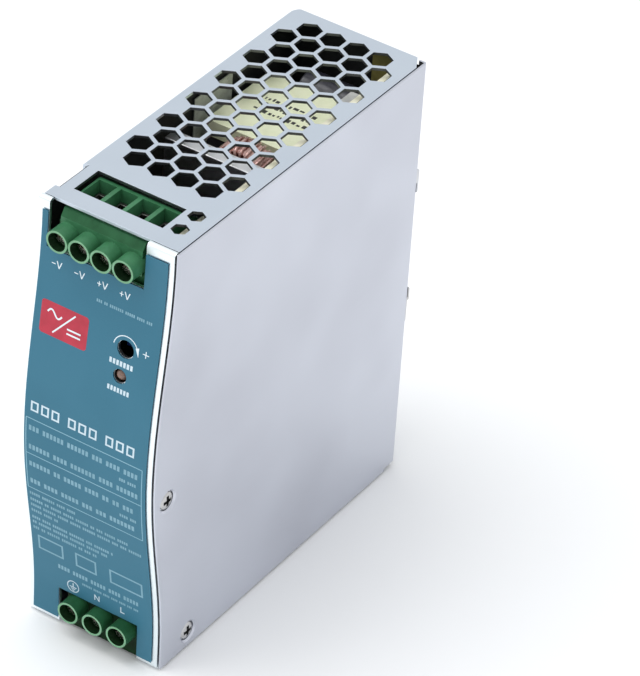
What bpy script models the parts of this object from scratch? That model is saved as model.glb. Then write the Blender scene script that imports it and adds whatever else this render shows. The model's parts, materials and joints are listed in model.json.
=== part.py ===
"""DIN rail power supply: sheet metal case, screw terminals, circuit boards and rail clip.

All lengths in this file are millimetres; the mesh helpers turn them into metres.
+Z is up, the front label faces -Y, the rail lies behind the case at +Y, and the
origin is the middle of the base.
"""
import math

import bmesh
import bpy
from mathutils import Matrix, Vector

MM = 0.001

# ---------------------------------------------------------------- driving sizes
WIDTH = 40.0
HEIGHT = 125.2
DEPTH = 114.4
SHEET = 0.8
COVER_SHEET = 0.5
GAP = 0.3
LEFT = -WIDTH / 2
RIGHT = WIDTH / 2

# The front is a shallow S: flat at both ends, bulging forward in the middle.
LABEL_GAP = 0.25
LABEL_THICKNESS = 0.15
BELLY_Z = 61.0
BELLY_Y = -DEPTH / 2 + LABEL_GAP + LABEL_THICKNESS
BELLY_RISE = 5.55
BELLY_REACH_UP = 62.5
BELLY_REACH_DOWN = 55.0
FRONT_Y = BELLY_Y + BELLY_RISE
CURVE_STEPS = 22

# Case walls
COVER_IN = RIGHT - COVER_SHEET
COVER_SETBACK = 0.4
CASE_RIGHT = COVER_IN - GAP
COVER_REAR = 54.2
REAR_OUT = 55.4
REAR_IN = REAR_OUT - SHEET
BEND_RADIUS = 1.0
FLANGE_END_Y = -49.8
SHEET_START_Y = FLANGE_END_Y + GAP
FLANGE_ROOM = SHEET + GAP

# Ventilation holes: rows of hexagons, four and five in turn
HEX_PITCH = 7.0
HEX_FLATS = 5.9
HEX_ROWS = 13
HEX_LAST_ROW_Y = 48.05
HEX_MIDDLE_X = -0.4
SMALL_HEX_FLATS = 4.0
SMALL_HEX_X = 14.0
SMALL_HEX_Y = (-35.25, -41.9)

# Front openings, as low and high X and the height they reach
OUTPUT_WINDOW = (-16.7, 11.3, 112.6)
INPUT_WINDOW = (-10.7, 13.1, 10.95)
WIRE_SLOT_X = (-15.1, 10.5)
WIRE_SLOT_Y = (-44.05, -34.4)
LABEL_X = (-18.5, 17.7)
LABEL_Z = (1.35, 122.2)
TRIMMER_AT = (8.3, 94.8)
TRIMMER_HOLE_R = 2.3
LED_AT = (7.6, 87.2)
LED_R = 1.5
LED_HOLE_R = LED_R + GAP

# Terminal blocks. The input block is the output block turned upside down.
SCREW_DROP = 7.7
BLOCK_FRONT = -49.75
BLOCK_BACK = -34.05
BLOCK_DROP = 1.8
BLOCK_HEIGHT = 13.9
SLAB_FRONT = -50.6
SLAB_BACK = -44.9
SLAB_DEPTHS = (3.7, 10.65)
SLAB_INSET = 0.9
SKIRT_Z = 0.35
BARREL_FRONT = -55.25
OUTPUT_POLES = 4
OUTPUT_PITCH = 6.35
OUTPUT_MIDDLE_X = -2.07
OUTPUT_BARREL_R = 3.05
INPUT_POLES = 3
INPUT_PITCH = 7.4
INPUT_MIDDLE_X = 2.0
INPUT_BARREL_R = 3.05
BARREL_WALL = 0.55
SCREW_HEAD_R = 2.15
SCREW_SHANK_R = 1.5
SCREW_HEAD_Y = (-52.9, -50.7)
BORE_END = SCREW_HEAD_Y[1] + GAP
WELL_HALF = 2.575
WELL_Y = (-44.0, -35.1)

# Rail clip: a 35 mm rail stands against the rear wall
RAIL_HEIGHT = 35.0
RAIL_MIDDLE_Z = 69.6
RAIL_SHEET = 1.0
CLIP_REAR = DEPTH / 2
CLIP_HALF_WIDTH = 18.7
LATCH_TRAVEL = 4.0
LATCH_RIVET_Z = (40.0, 13.4)
SPRING_Y = 50.9
SPRING_Z = (20.8, 33.9)
SPRING_R = 1.9
SPRING_WIRE_R = 0.3

# Boards
BOARD = 1.6
MAIN_BOARD_X = (12.6, 14.2)
PARTS_X = MAIN_BOARD_X[0] - GAP

COVER_SCREWS = ((-50.65, 52.8), (-39.25, 4.5))
SPACERS = ((-38.0, 60.0), (-8.0, 10.0), (24.0, 81.0))


# ---------------------------------------------------------------- mesh helpers
def clear_scene():
    for obj in list(bpy.data.objects):
        bpy.data.objects.remove(obj, do_unlink=True)


def material(name, colour, roughness, metallic=0.0):
    """A Principled material, made once and shared by name."""
    found = bpy.data.materials.get(name)
    if found:
        return found
    made = bpy.data.materials.new(name)
    made.use_nodes = True
    shader = made.node_tree.nodes["Principled BSDF"]
    shader.inputs["Base Color"].default_value = (*colour, 1.0)
    shader.inputs["Roughness"].default_value = roughness
    shader.inputs["Metallic"].default_value = metallic
    made.diffuse_color = (*colour, 1.0)
    return made


def in_space(axis, along, across):
    """A point from its place along an axis and its other two coordinates, in X, Y, Z order."""
    point = list(across)
    point.insert("XYZ".index(axis), along)
    return Vector(point) * MM


def add_prism(bm, outline, axis, low, high):
    """Extrude a flat outline along an axis. The outline is in the other two axes."""
    start = [bm.verts.new(in_space(axis, low, p)) for p in outline]
    end = [bm.verts.new(in_space(axis, high, p)) for p in outline]
    count = len(outline)
    faces = [bm.faces.new(start), bm.faces.new(list(reversed(end)))]
    for i in range(count):
        j = (i + 1) % count
        faces.append(bm.faces.new((start[j], start[i], end[i], end[j])))
    bmesh.ops.recalc_face_normals(bm, faces=faces)


def add_box(bm, x, y, z):
    outline = [(y[0], z[0]), (y[1], z[0]), (y[1], z[1]), (y[0], z[1])]
    add_prism(bm, outline, "X", x[0], x[1])


def circle(centre, radius, sides, start=0.0):
    step = 2 * math.pi / sides
    return [
        (centre[0] + radius * math.cos(start + i * step),
         centre[1] + radius * math.sin(start + i * step))
        for i in range(sides)
    ]


def add_turned(bm, profile, axis, centre, sides):
    """Turn (radius, along) points about an axis; the first and last end are closed flat."""
    rings = []
    for radius, along in profile:
        ring = [bm.verts.new(in_space(axis, along, p)) for p in circle(centre, radius, sides)]
        rings.append(ring)
    faces = [bm.faces.new(rings[0]), bm.faces.new(list(reversed(rings[-1])))]
    for first, second in zip(rings, rings[1:]):
        for i in range(sides):
            j = (i + 1) % sides
            faces.append(bm.faces.new((first[j], first[i], second[i], second[j])))
    bmesh.ops.recalc_face_normals(bm, faces=faces)


def finish(name, bm, finish_material=None, smooth=False):
    """Turn a bmesh into a named object."""
    mesh = bpy.data.meshes.new(name)
    bm.to_mesh(mesh)
    bm.free()
    if finish_material:
        mesh.materials.append(finish_material)
    obj = bpy.data.objects.new(name, mesh)
    bpy.context.collection.objects.link(obj)
    if smooth:
        mesh.shade_smooth()
        mesh.set_sharp_from_angle(angle=math.radians(35))
    return obj


def combine(target, tool_bm, operation):
    """Cut, join or intersect an object with a tool shape, and keep the result as its mesh."""
    tool = finish(target.name + "_tool", tool_bm)
    modifier = target.modifiers.new(operation.lower(), "BOOLEAN")
    modifier.object = tool
    modifier.operation = operation
    modifier.solver = "EXACT"
    depsgraph = bpy.context.evaluated_depsgraph_get()
    result = bpy.data.meshes.new_from_object(target.evaluated_get(depsgraph))
    target.modifiers.clear()
    before = target.data
    target.data = result
    bpy.data.meshes.remove(before)
    bpy.data.objects.remove(tool, do_unlink=True)
    result.name = target.name


def put_origin(obj, x, y, z):
    """Move an object's origin to a point on its joint's axis, leaving its shape in place."""
    point = Vector((x, y, z)) * MM
    obj.data.transform(Matrix.Translation(-point))
    obj.location = point


def simple_box(name, x, y, z, finish_material):
    bm = bmesh.new()
    add_box(bm, x, y, z)
    return finish(name, bm, finish_material)


def simple_cylinder(name, axis, centre, profile, sides, finish_material):
    bm = bmesh.new()
    add_turned(bm, profile, axis, centre, sides)
    return finish(name, bm, finish_material, smooth=True)


# ---------------------------------------------------------------- materials
def make_materials():
    return {
        "case": material("case_metal", (0.62, 0.65, 0.70), 0.38, 1.0),
        "cover": material("cover_metal", (0.66, 0.67, 0.71), 0.32, 1.0),
        "label": material("front_label", (0.07, 0.21, 0.31), 0.45),
        "steel": material("plated_steel", (0.55, 0.55, 0.53), 0.35, 1.0),
        "hook": material("clip_steel", (0.60, 0.61, 0.63), 0.38, 1.0),
        "terminal": material("green_plastic", (0.04, 0.20, 0.08), 0.45),
        "brass": material("tinned_brass", (0.72, 0.66, 0.50), 0.35, 1.0),
        "board": material("circuit_board", (0.42, 0.36, 0.14), 0.6),
        "sheet": material("insulation", (0.75, 0.74, 0.66), 0.6),
        "ferrite": material("ferrite", (0.06, 0.06, 0.065), 0.6),
        "tape": material("yellow_tape", (0.83, 0.80, 0.45), 0.45),
        "copper": material("copper_wire", (0.62, 0.30, 0.20), 0.35, 0.6),
        "sleeve": material("capacitor_sleeve", (0.03, 0.03, 0.05), 0.4),
        "film": material("film_capacitor", (0.75, 0.62, 0.16), 0.45),
        "aluminium": material("aluminium", (0.78, 0.79, 0.80), 0.4, 1.0),
        "epoxy": material("black_epoxy", (0.02, 0.02, 0.022), 0.55),
        "ceramic": material("fuse_body", (0.72, 0.70, 0.64), 0.5),
        "blue": material("trimmer_body", (0.03, 0.10, 0.40), 0.45),
        "rotor": material("trimmer_rotor", (0.70, 0.68, 0.60), 0.5),
        "amber": material("led_lens", (0.45, 0.22, 0.12), 0.3),
    }


# ---------------------------------------------------------------- the front curve
def front_line(z):
    """The Y of the front panel's outer face at a height."""
    reach = BELLY_REACH_UP if z > BELLY_Z else BELLY_REACH_DOWN
    share = min(1.0, abs(z - BELLY_Z) / reach)
    return FRONT_Y - BELLY_RISE * 0.5 * (1 + math.cos(math.pi * share))


def curve_heights(low, high):
    return [low + (high - low) * i / CURVE_STEPS for i in range(CURVE_STEPS + 1)]


def curved_strip(low, high, outer, thickness):
    """An outline in Y and Z that follows the front curve."""
    heights = curve_heights(low, high)
    front = [(front_line(z) - outer, z) for z in heights]
    back = [(front_line(z) - outer + thickness, z) for z in reversed(heights)]
    return front + back


def cut_front_openings(panel, clear_y):
    """The two terminal windows and the trimmer and light holes, through panel and label."""
    tool = bmesh.new()
    low_x, high_x, height = OUTPUT_WINDOW
    add_box(tool, (low_x, high_x), clear_y, (height, HEIGHT + 1))
    low_x, high_x, height = INPUT_WINDOW
    add_box(tool, (low_x, high_x), clear_y, (-1, height))
    add_prism(tool, circle(TRIMMER_AT, TRIMMER_HOLE_R, 20), "Y", *clear_y)
    add_prism(tool, circle(LED_AT, LED_HOLE_R, 16), "Y", *clear_y)
    combine(panel, tool, "DIFFERENCE")


# ---------------------------------------------------------------- the case
def rounded_case_block():
    """The outer block of the chassis, with its left and rear bends rounded."""
    bm = bmesh.new()
    add_box(bm, (LEFT, CASE_RIGHT), (-DEPTH / 2 - 1, REAR_OUT), (0, HEIGHT))
    left = LEFT * MM + 1e-6
    rear = REAR_OUT * MM - 1e-6
    bends = []
    for edge in bm.edges:
        on_left = all(v.co.x < left for v in edge.verts)
        on_rear = all(v.co.y > rear for v in edge.verts)
        along_y = abs(edge.verts[0].co.y - edge.verts[1].co.y) > MM
        along_x = abs(edge.verts[0].co.x - edge.verts[1].co.x) > MM
        if (on_left and (along_y or on_rear)) or (on_rear and along_x):
            bends.append(edge)
    bmesh.ops.bevel(bm, geom=bends, offset=BEND_RADIUS * MM, segments=3, profile=0.5,
                    affect="EDGES")
    return bm


def front_clearance():
    """What lies in front of the chassis: the curved left edge and the ends of top and bottom."""
    heights = curve_heights(FLANGE_ROOM, HEIGHT - FLANGE_ROOM)
    outline = [(-60.0, -2.0), (SHEET_START_Y, -2.0), (SHEET_START_Y, FLANGE_ROOM)]
    outline += [(front_line(z) + SHEET + GAP, z) for z in heights]
    outline += [(SHEET_START_Y, HEIGHT - FLANGE_ROOM), (SHEET_START_Y, HEIGHT + 2),
                (-60.0, HEIGHT + 2)]
    return outline


def hexagon(x, y, flats):
    return circle((x, y), flats / math.sqrt(3), 6, start=math.pi / 6)


def vent_positions():
    """Centres of the hexagons: rows of four and five, the rear row has four."""
    row_pitch = HEX_PITCH * math.sqrt(3) / 2
    for row in range(HEX_ROWS):
        count = 4 + row % 2
        first = HEX_MIDDLE_X - HEX_PITCH * (count - 1) / 2
        for i in range(count):
            yield first + i * HEX_PITCH, HEX_LAST_ROW_Y - row * row_pitch


def add_vents(tool, low, high):
    for x, y in vent_positions():
        add_prism(tool, hexagon(x, y, HEX_FLATS), "Z", low, high)


def make_chassis(mats):
    """Left, top, bottom and rear walls, folded from one sheet."""
    chassis = finish("chassis", rounded_case_block(), mats["case"])

    tool = bmesh.new()
    add_box(tool, (LEFT + SHEET, RIGHT + 1), (-DEPTH, REAR_IN), (SHEET, HEIGHT - SHEET))
    combine(chassis, tool, "DIFFERENCE")

    tool = bmesh.new()
    add_prism(tool, front_clearance(), "X", LEFT - 1, RIGHT + 1)
    combine(chassis, tool, "DIFFERENCE")

    tabs = bmesh.new()
    screw_y = COVER_SCREWS[1][0]
    add_box(tabs, (CASE_RIGHT - SHEET, CASE_RIGHT), (screw_y - 4.2, screw_y + 4.2), (0.2, 9.0))
    add_box(tabs, (-3.0, 3.0), (SPRING_Y - 3.0, REAR_OUT - 0.3), (19.7, 20.5))
    combine(chassis, tabs, "UNION")

    tool = bmesh.new()
    add_box(tool, WIRE_SLOT_X, WIRE_SLOT_Y, (HEIGHT - 2, HEIGHT + 1))
    add_box(tool, INPUT_WINDOW[:2], (-60, WIRE_SLOT_Y[1]), (-1, 2))
    add_box(tool, (LEFT - 1, -18.1), (-45.45, -33.95), (HEIGHT - 3.7, HEIGHT + 1))
    rear_right = [(CASE_RIGHT + 0.05, 50.5), (16.4, REAR_OUT + 0.1), (21, REAR_OUT + 0.1),
                  (21, 50.5)]
    add_prism(tool, rear_right, "Z", -1, HEIGHT + 1)
    rear_left = [(LEFT - 0.5, 51.5), (-17.6, REAR_OUT + 0.3), (LEFT - 0.5, REAR_OUT + 0.3)]
    add_prism(tool, rear_left, "Z", HEIGHT - 1.2, HEIGHT + 1)
    add_vents(tool, HEIGHT - 2, HEIGHT + 1)
    for y in SMALL_HEX_Y:
        add_prism(tool, hexagon(SMALL_HEX_X, y, SMALL_HEX_FLATS), "Z", HEIGHT - 2, HEIGHT + 1)
    combine(chassis, tool, "DIFFERENCE")

    tool = bmesh.new()
    add_vents(tool, -1, 2)
    add_prism(tool, circle(COVER_SCREWS[1], 1.8, 12), "X", CASE_RIGHT - 2, CASE_RIGHT + 1)
    for z in LATCH_RIVET_Z:
        add_prism(tool, circle((0, z), 1.8, 14), "Y", REAR_IN - 1, REAR_OUT + 1)
    add_box(tool, (-3.2, 3.2), (REAR_IN - 1, REAR_OUT + 1), (20.5, 36.0))
    combine(chassis, tool, "DIFFERENCE")
    return chassis


def make_cover(mats):
    """The right side plate, with a short lip folded in along its rear edge."""
    bm = bmesh.new()
    heights = curve_heights(0.0, HEIGHT)
    outline = [(front_line(z) + COVER_SETBACK, z) for z in heights]
    outline += [(COVER_REAR - 0.4, HEIGHT), (COVER_REAR - 0.4, 0.0)]
    add_prism(bm, outline, "X", COVER_IN, RIGHT)
    cover = finish("side_cover", bm, mats["cover"])

    lip = bmesh.new()
    lip_front = COVER_REAR - COVER_SHEET
    corner = 0.4
    outline = [(17.9, lip_front), (RIGHT, lip_front), (RIGHT, COVER_REAR - corner),
               (RIGHT - corner, COVER_REAR), (17.9, COVER_REAR)]
    add_prism(lip, outline, "Z", 0.0, HEIGHT)
    combine(cover, lip, "UNION")

    tool = bmesh.new()
    for place in COVER_SCREWS:
        rings = [(3.5, RIGHT + 0.2), (2.65, COVER_IN), (2.65, COVER_IN - 1)]
        add_turned(tool, rings, "X", place, 20)
    add_box(tool, (17, RIGHT + 1), (COVER_REAR - 4.5, COVER_REAR + 1), (-1, SHEET))
    combine(cover, tool, "DIFFERENCE")
    return cover


def make_front_panel(mats):
    """The curved front strip, folded back along its ends, with a tab for the upper screw."""
    bm = bmesh.new()
    add_prism(bm, curved_strip(SHEET, HEIGHT - SHEET, 0.0, SHEET), "X", LEFT, CASE_RIGHT)
    panel = finish("front_panel", bm, mats["cover"])
    for end, inwards in ((0.0, 1), (HEIGHT, -1)):
        inside = end + inwards * SHEET
        fold = [(FRONT_Y, inside + inwards * 0.05), (FRONT_Y, inside),
                (FRONT_Y + 0.2, end + inwards * 0.2), (FRONT_Y + SHEET, end),
                (FLANGE_END_Y, end), (FLANGE_END_Y, inside), (FRONT_Y + SHEET, inside),
                (FRONT_Y + SHEET, inside + inwards * 0.05)]
        flange = bmesh.new()
        add_prism(flange, fold, "X", LEFT, CASE_RIGHT)
        combine(panel, flange, "UNION")
    cut_front_openings(panel, (-DEPTH / 2 - 2, -45))

    screw_y, screw_z = COVER_SCREWS[0]
    tab = bmesh.new()
    tab_y = (front_line(screw_z) + SHEET / 2, screw_y + 4.4)
    add_box(tab, (CASE_RIGHT - SHEET, CASE_RIGHT), tab_y, (screw_z - 4.5, screw_z + 4.5))
    combine(panel, tab, "UNION")

    tool = bmesh.new()
    add_prism(tool, circle((screw_y, screw_z), 1.8, 12), "X", CASE_RIGHT - 2, CASE_RIGHT + 1)
    combine(panel, tool, "DIFFERENCE")
    return panel


def make_label(mats):
    bm = bmesh.new()
    outer = LABEL_GAP + LABEL_THICKNESS
    add_prism(bm, curved_strip(*LABEL_Z, outer, LABEL_THICKNESS), "X", *LABEL_X)
    label = finish("front_label", bm, mats["label"])
    cut_front_openings(label, (-DEPTH / 2 - 2, -45))
    return label


def make_cover_screw(number, place, mats):
    """A flat head cross recess screw, its axis along X."""
    bm = bmesh.new()
    profile = [(3.0, RIGHT - 0.05), (2.3, COVER_IN + 0.05), (1.5, COVER_IN + 0.05), (1.5, 16.8)]
    add_turned(bm, profile, "X", place, 20)
    screw = finish(f"cover_screw_{number}", bm, mats["steel"], smooth=True)
    y, z = place
    for half_y, half_z in ((1.7, 0.35), (0.35, 1.7)):
        tool = bmesh.new()
        add_box(tool, (RIGHT - 1.0, RIGHT + 1), (y - half_y, y + half_y), (z - half_z, z + half_z))
        combine(screw, tool, "DIFFERENCE")
    return screw


def make_spacer(number, place, mats):
    """A hexagonal pillar between the left wall and the main board."""
    bm = bmesh.new()
    add_prism(bm, circle(place, 2.6, 6), "X", LEFT + SHEET + GAP, PARTS_X)
    return finish(f"board_spacer_{number}", bm, mats["brass"])


# ---------------------------------------------------------------- the rail clip
def make_rail_hook(mats):
    """The fixed hook that hangs over the rail's upper edge."""
    top_of_rail = RAIL_MIDDLE_Z + RAIL_HEIGHT / 2
    seat = REAR_OUT + GAP
    lip = REAR_OUT + RAIL_SHEET + 0.1
    outline = [(seat, top_of_rail + GAP), (lip, top_of_rail + GAP), (lip, top_of_rail - 2.7),
               (CLIP_REAR - 0.3, top_of_rail - 2.7), (CLIP_REAR, top_of_rail - 1.9),
               (CLIP_REAR, 91.0), (CLIP_REAR - 0.6, 91.6), (seat, 91.6)]
    bm = bmesh.new()
    add_prism(bm, outline, "X", -CLIP_HALF_WIDTH, CLIP_HALF_WIDTH)
    hook = finish("rail_hook", bm, mats["hook"])
    plate = bmesh.new()
    add_box(plate, (-12, 12), (seat, lip), (91.0, 103.0))
    combine(hook, plate, "UNION")
    return hook


def make_rail_latch(mats):
    """The sliding plate that closes under the rail's lower edge."""
    foot_of_rail = RAIL_MIDDLE_Z - RAIL_HEIGHT / 2
    seat = REAR_OUT + GAP
    plate_rear = seat + 0.7
    lip = REAR_OUT + RAIL_SHEET + 0.1
    shelf = foot_of_rail - GAP
    head = [(seat, 44.5), (plate_rear, 44.5), (plate_rear, shelf - 0.9), (CLIP_REAR, shelf - 0.9),
            (CLIP_REAR, shelf + 2.4), (CLIP_REAR - 0.4, shelf + 3.1), (lip, shelf + 3.1),
            (lip, shelf), (seat, shelf)]
    bm = bmesh.new()
    add_prism(bm, head, "X", -CLIP_HALF_WIDTH, CLIP_HALF_WIDTH)
    latch = finish("rail_latch", bm, mats["steel"])

    stem = bmesh.new()
    outline = [(-8, 46), (-8, 7), (-6, 5), (6, 5), (8, 7), (8, 46)]
    add_prism(stem, outline, "Y", seat, plate_rear)
    combine(latch, stem, "UNION")
    tab = bmesh.new()
    add_box(tab, (-2.6, 2.6), (SPRING_Y - 2.9, plate_rear - 0.2), (34.2, 35.0))
    combine(latch, tab, "UNION")

    tool = bmesh.new()
    for z in LATCH_RIVET_Z:
        slot = circle((0, z), 1.8, 16)
        for i, (x, height) in enumerate(slot):
            if height > z:
                slot[i] = (x, height + LATCH_TRAVEL)
        add_prism(tool, slot, "Y", seat - 1, plate_rear + 0.25)
    add_box(tool, (-2.6, 2.6), (seat - 0.1, plate_rear + 0.25), (28.0, 34.2))
    add_box(tool, (-3.0, 3.0), (seat - 1, plate_rear + 1), (6.6, 9.0))
    combine(latch, tool, "DIFFERENCE")
    put_origin(latch, 0, (seat + plate_rear) / 2, LATCH_RIVET_Z[0])
    return latch


def make_latch_rivet(number, z, mats):
    """A shoulder rivet that holds the latch against the rear wall and guides its slot."""
    profile = [(2.4, REAR_IN - 1.2), (2.4, REAR_IN - GAP), (1.5, REAR_IN - GAP),
               (1.5, REAR_OUT + 1.3), (3.0, REAR_OUT + 1.3), (3.0, CLIP_REAR - 0.15),
               (2.6, CLIP_REAR)]
    return simple_cylinder(f"latch_rivet_{number}", "Y", (0, z), profile, 16, mats["steel"])


def make_latch_spring(mats):
    """A compression spring inside the case, between the chassis tab and the latch tab."""
    turns = 5.5
    per_turn = 10
    low = SPRING_Z[0] + SPRING_WIRE_R
    high = SPRING_Z[1] - SPRING_WIRE_R
    count = int(turns * per_turn)
    curve = bpy.data.curves.new("latch_spring", "CURVE")
    curve.dimensions = "3D"
    curve.bevel_depth = SPRING_WIRE_R * MM
    curve.bevel_resolution = 1
    curve.use_fill_caps = True
    spline = curve.splines.new("POLY")
    spline.points.add(count)
    for i, point in enumerate(spline.points):
        angle = 2 * math.pi * i / per_turn
        x = SPRING_R * math.cos(angle)
        y = SPRING_Y + SPRING_R * math.sin(angle)
        z = low + (high - low) * i / count
        point.co = (x * MM, y * MM, z * MM, 1.0)
    curve.materials.append(mats["steel"])
    spring = bpy.data.objects.new("latch_spring", curve)
    bpy.context.collection.objects.link(spring)
    return spring


# ---------------------------------------------------------------- the terminals
class Block:
    """Where one terminal block stands. Heights are counted from its wire side inwards."""

    def __init__(self, side, poles, pitch, middle_x, barrel_r, on_top):
        self.side = side
        self.barrel_r = barrel_r
        self.on_top = on_top
        first = middle_x - pitch * (poles - 1) / 2
        self.centres = [first + i * pitch for i in range(poles)]
        self.pitch = pitch
        half = pitch * poles / 2 - (0.0 if on_top else GAP)
        self.x = (middle_x - half, middle_x + half)
        inset = SLAB_INSET if on_top else 0.0
        self.slab_x = (self.x[0] + inset, self.x[1] - inset)
        self.screw_z = self.height(SCREW_DROP)

    def height(self, depth):
        """A height from a depth below the case's top, or above its base."""
        return HEIGHT - depth if self.on_top else depth

    def span(self, first, second):
        return tuple(sorted((self.height(first), self.height(second))))


def make_block_body(block, mats):
    """The plastic body: a slab in front, screw barrels, one wire well for each pole."""
    top = block.height(BLOCK_DROP)
    bottom = block.height(BLOCK_DROP + BLOCK_HEIGHT)
    outline = [(BLOCK_FRONT, bottom), (BLOCK_FRONT, block.height(5.6)), (BLOCK_FRONT + 4.45, top),
               (BLOCK_BACK, top), (BLOCK_BACK, bottom)]
    bm = bmesh.new()
    add_prism(bm, outline, "X", *block.x)
    body = finish(f"{block.side}_terminal_body", bm, mats["terminal"])

    slab_top, slab_foot = (block.height(depth) for depth in SLAB_DEPTHS)
    outline = [(SLAB_BACK, slab_foot), (SLAB_FRONT, slab_foot)]
    if block.on_top:
        outline += [(SLAB_FRONT, slab_top), (SLAB_FRONT + 1.3, top), (SLAB_BACK, top)]
    else:
        outline += [(SLAB_FRONT, SKIRT_Z), (SLAB_BACK, SKIRT_Z)]
    slab = bmesh.new()
    add_prism(slab, outline, "X", *block.slab_x)
    combine(body, slab, "UNION")

    for x in block.centres:
        barrel = bmesh.new()
        profile = [(block.barrel_r, BARREL_FRONT), (block.barrel_r, BLOCK_FRONT + 0.6)]
        add_turned(barrel, profile, "Y", (x, block.screw_z), 20)
        combine(body, barrel, "UNION")
    if block.on_top:
        web = bmesh.new()
        add_box(web, (block.centres[0], block.centres[-1]), (BARREL_FRONT + 0.2, BLOCK_FRONT + 0.5),
                (block.screw_z - 0.7, block.screw_z + 0.7))
        combine(body, web, "UNION")

    tool = bmesh.new()
    bore = block.barrel_r - BARREL_WALL
    for x in block.centres:
        profile = [(bore, BARREL_FRONT - 1), (bore, BORE_END), (1.8, BORE_END),
                   (1.8, WELL_Y[0] + 0.5)]
        add_turned(tool, profile, "Y", (x, block.screw_z), 20)
    combine(body, tool, "DIFFERENCE")
    tool = bmesh.new()
    for x in block.centres:
        add_box(tool, (x - WELL_HALF, x + WELL_HALF), WELL_Y, block.span(-1, 13.6))
    combine(body, tool, "DIFFERENCE")
    tool = bmesh.new()
    for x in block.centres:
        add_box(tool, (x - 1.75, x + 1.75), (WELL_Y[1] - 0.5, BLOCK_BACK + 1), block.span(12.2, 13.6))
    combine(body, tool, "DIFFERENCE")
    return body


def make_terminal_screw(block, number, x, mats):
    """A slotted clamp screw deep in its barrel, its axis along Y."""
    head_front, head_back = SCREW_HEAD_Y
    profile = [(SCREW_HEAD_R - 0.3, head_front), (SCREW_HEAD_R, head_front + 0.3),
               (SCREW_HEAD_R, head_back), (SCREW_SHANK_R, head_back), (SCREW_SHANK_R, -40.4)]
    bm = bmesh.new()
    add_turned(bm, profile, "Y", (x, block.screw_z), 14)
    name = f"{block.side}_screw_{number}"
    screw = finish(name, bm, mats["steel"], smooth=True)
    slot = bmesh.new()
    add_box(slot, (x - 3, x + 3), (head_front - 1, head_front + 1.0),
            (block.screw_z - 0.35, block.screw_z + 0.35))
    combine(screw, slot, "DIFFERENCE")
    put_origin(screw, x, head_front, block.screw_z)
    return screw


def make_clamp(block, number, x, mats):
    """The steel cage that the screw draws forward onto the wire."""
    outer_y = (-41.3, -35.5)
    bm = bmesh.new()
    add_box(bm, (x - 2.25, x + 2.25), outer_y, block.span(5.1, 11.9))
    cage = finish(f"{block.side}_clamp_{number}", bm, mats["steel"])
    tool = bmesh.new()
    add_box(tool, (x - 1.8, x + 1.8), (outer_y[0] + 0.9, outer_y[1] - 0.9), block.span(4, 13))
    combine(cage, tool, "DIFFERENCE")
    tool = bmesh.new()
    add_prism(tool, circle((x, block.screw_z), 1.8, 12), "Y", outer_y[0] - 1, outer_y[0] + 1.5)
    combine(cage, tool, "DIFFERENCE")
    put_origin(cage, x, outer_y[0], block.screw_z)
    return cage


def make_contact(block, number, x, mats):
    """The fixed contact: a bar inside the cage and a foot through the small board."""
    outline = [(-40.1, block.height(4.9)), (-40.1, block.height(13.3)), (-31.4, block.height(13.3)),
               (-31.4, block.height(12.5)), (-39.3, block.height(12.5)), (-39.3, block.height(4.9))]
    bm = bmesh.new()
    add_prism(bm, outline, "X", x - 1.45, x + 1.45)
    return finish(f"{block.side}_contact_{number}", bm, mats["brass"])


def make_terminal_board(block, low_x, depths, mats):
    """The small board behind a terminal block, slotted for the contacts."""
    bm = bmesh.new()
    back = BLOCK_BACK + GAP
    add_box(bm, (low_x, PARTS_X), (back, back + BOARD), block.span(*depths))
    board = finish(f"{block.side}_board", bm, mats["board"])
    tool = bmesh.new()
    for x in block.centres:
        add_box(tool, (x - 1.75, x + 1.75), (back - 1, back + BOARD + 1), block.span(12.2, 13.6))
    combine(board, tool, "DIFFERENCE")
    return board


def make_terminal(block, board_low_x, board_depths, mats):
    make_block_body(block, mats)
    for number, x in enumerate(block.centres, start=1):
        make_terminal_screw(block, number, x, mats)
        make_clamp(block, number, x, mats)
        make_contact(block, number, x, mats)
    make_terminal_board(block, board_low_x, board_depths, mats)


# ---------------------------------------------------------------- boards and their parts
def make_main_board(mats):
    """The main board stands beside the cover; its parts point to the left wall."""
    rear = 51.0
    outline = [(-46, 16.5), (-31.0, 16.5), (-31.0, 4.0), (rear, 4.0), (rear, 122.3), (-46, 122.3)]
    bm = bmesh.new()
    add_prism(bm, outline, "X", *MAIN_BOARD_X)
    return finish("main_board", bm, mats["board"])


def make_transformer(mats):
    """A ferrite core with two windows, and the taped winding round its middle leg."""
    bm = bmesh.new()
    add_box(bm, (-16.0, 9.0), (12.0, 38.6), (86.0, 115.0))
    core = finish("transformer_core", bm, mats["ferrite"])
    tool = bmesh.new()
    for low_y, high_y in ((15.8, 20.8), (29.8, 34.8)):
        add_box(tool, (-10.5, 3.5), (low_y, high_y), (80, 120))
    combine(core, tool, "DIFFERENCE")
    tool = bmesh.new()
    for low_z, high_z in ((80.0, 90.5), (110.5, 120.0)):
        add_box(tool, (-10.5, 3.5), (15.8, 34.8), (low_z, high_z))
    combine(core, tool, "DIFFERENCE")

    bm = bmesh.new()
    add_box(bm, (-10.2, 3.2), (16.1, 34.5), (85.5, 115.5))
    winding = finish("transformer_winding", bm, mats["tape"])
    tool = bmesh.new()
    add_box(tool, (-12, 5), (20.5, 30.1), (90.2, 110.8))
    combine(winding, tool, "DIFFERENCE")


def make_capacitor(name, y, z, radius, low_x, mats):
    """A can capacitor standing on the board, its axis along X, with a rolled groove."""
    profile = [(radius - 0.4, low_x), (radius, low_x + 0.4), (radius, PARTS_X - 3.0),
               (radius - 0.5, PARTS_X - 2.4), (radius, PARTS_X - 1.8), (radius, PARTS_X)]
    simple_cylinder(name, "X", (y, z), profile, 20, mats["sleeve"])


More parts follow.
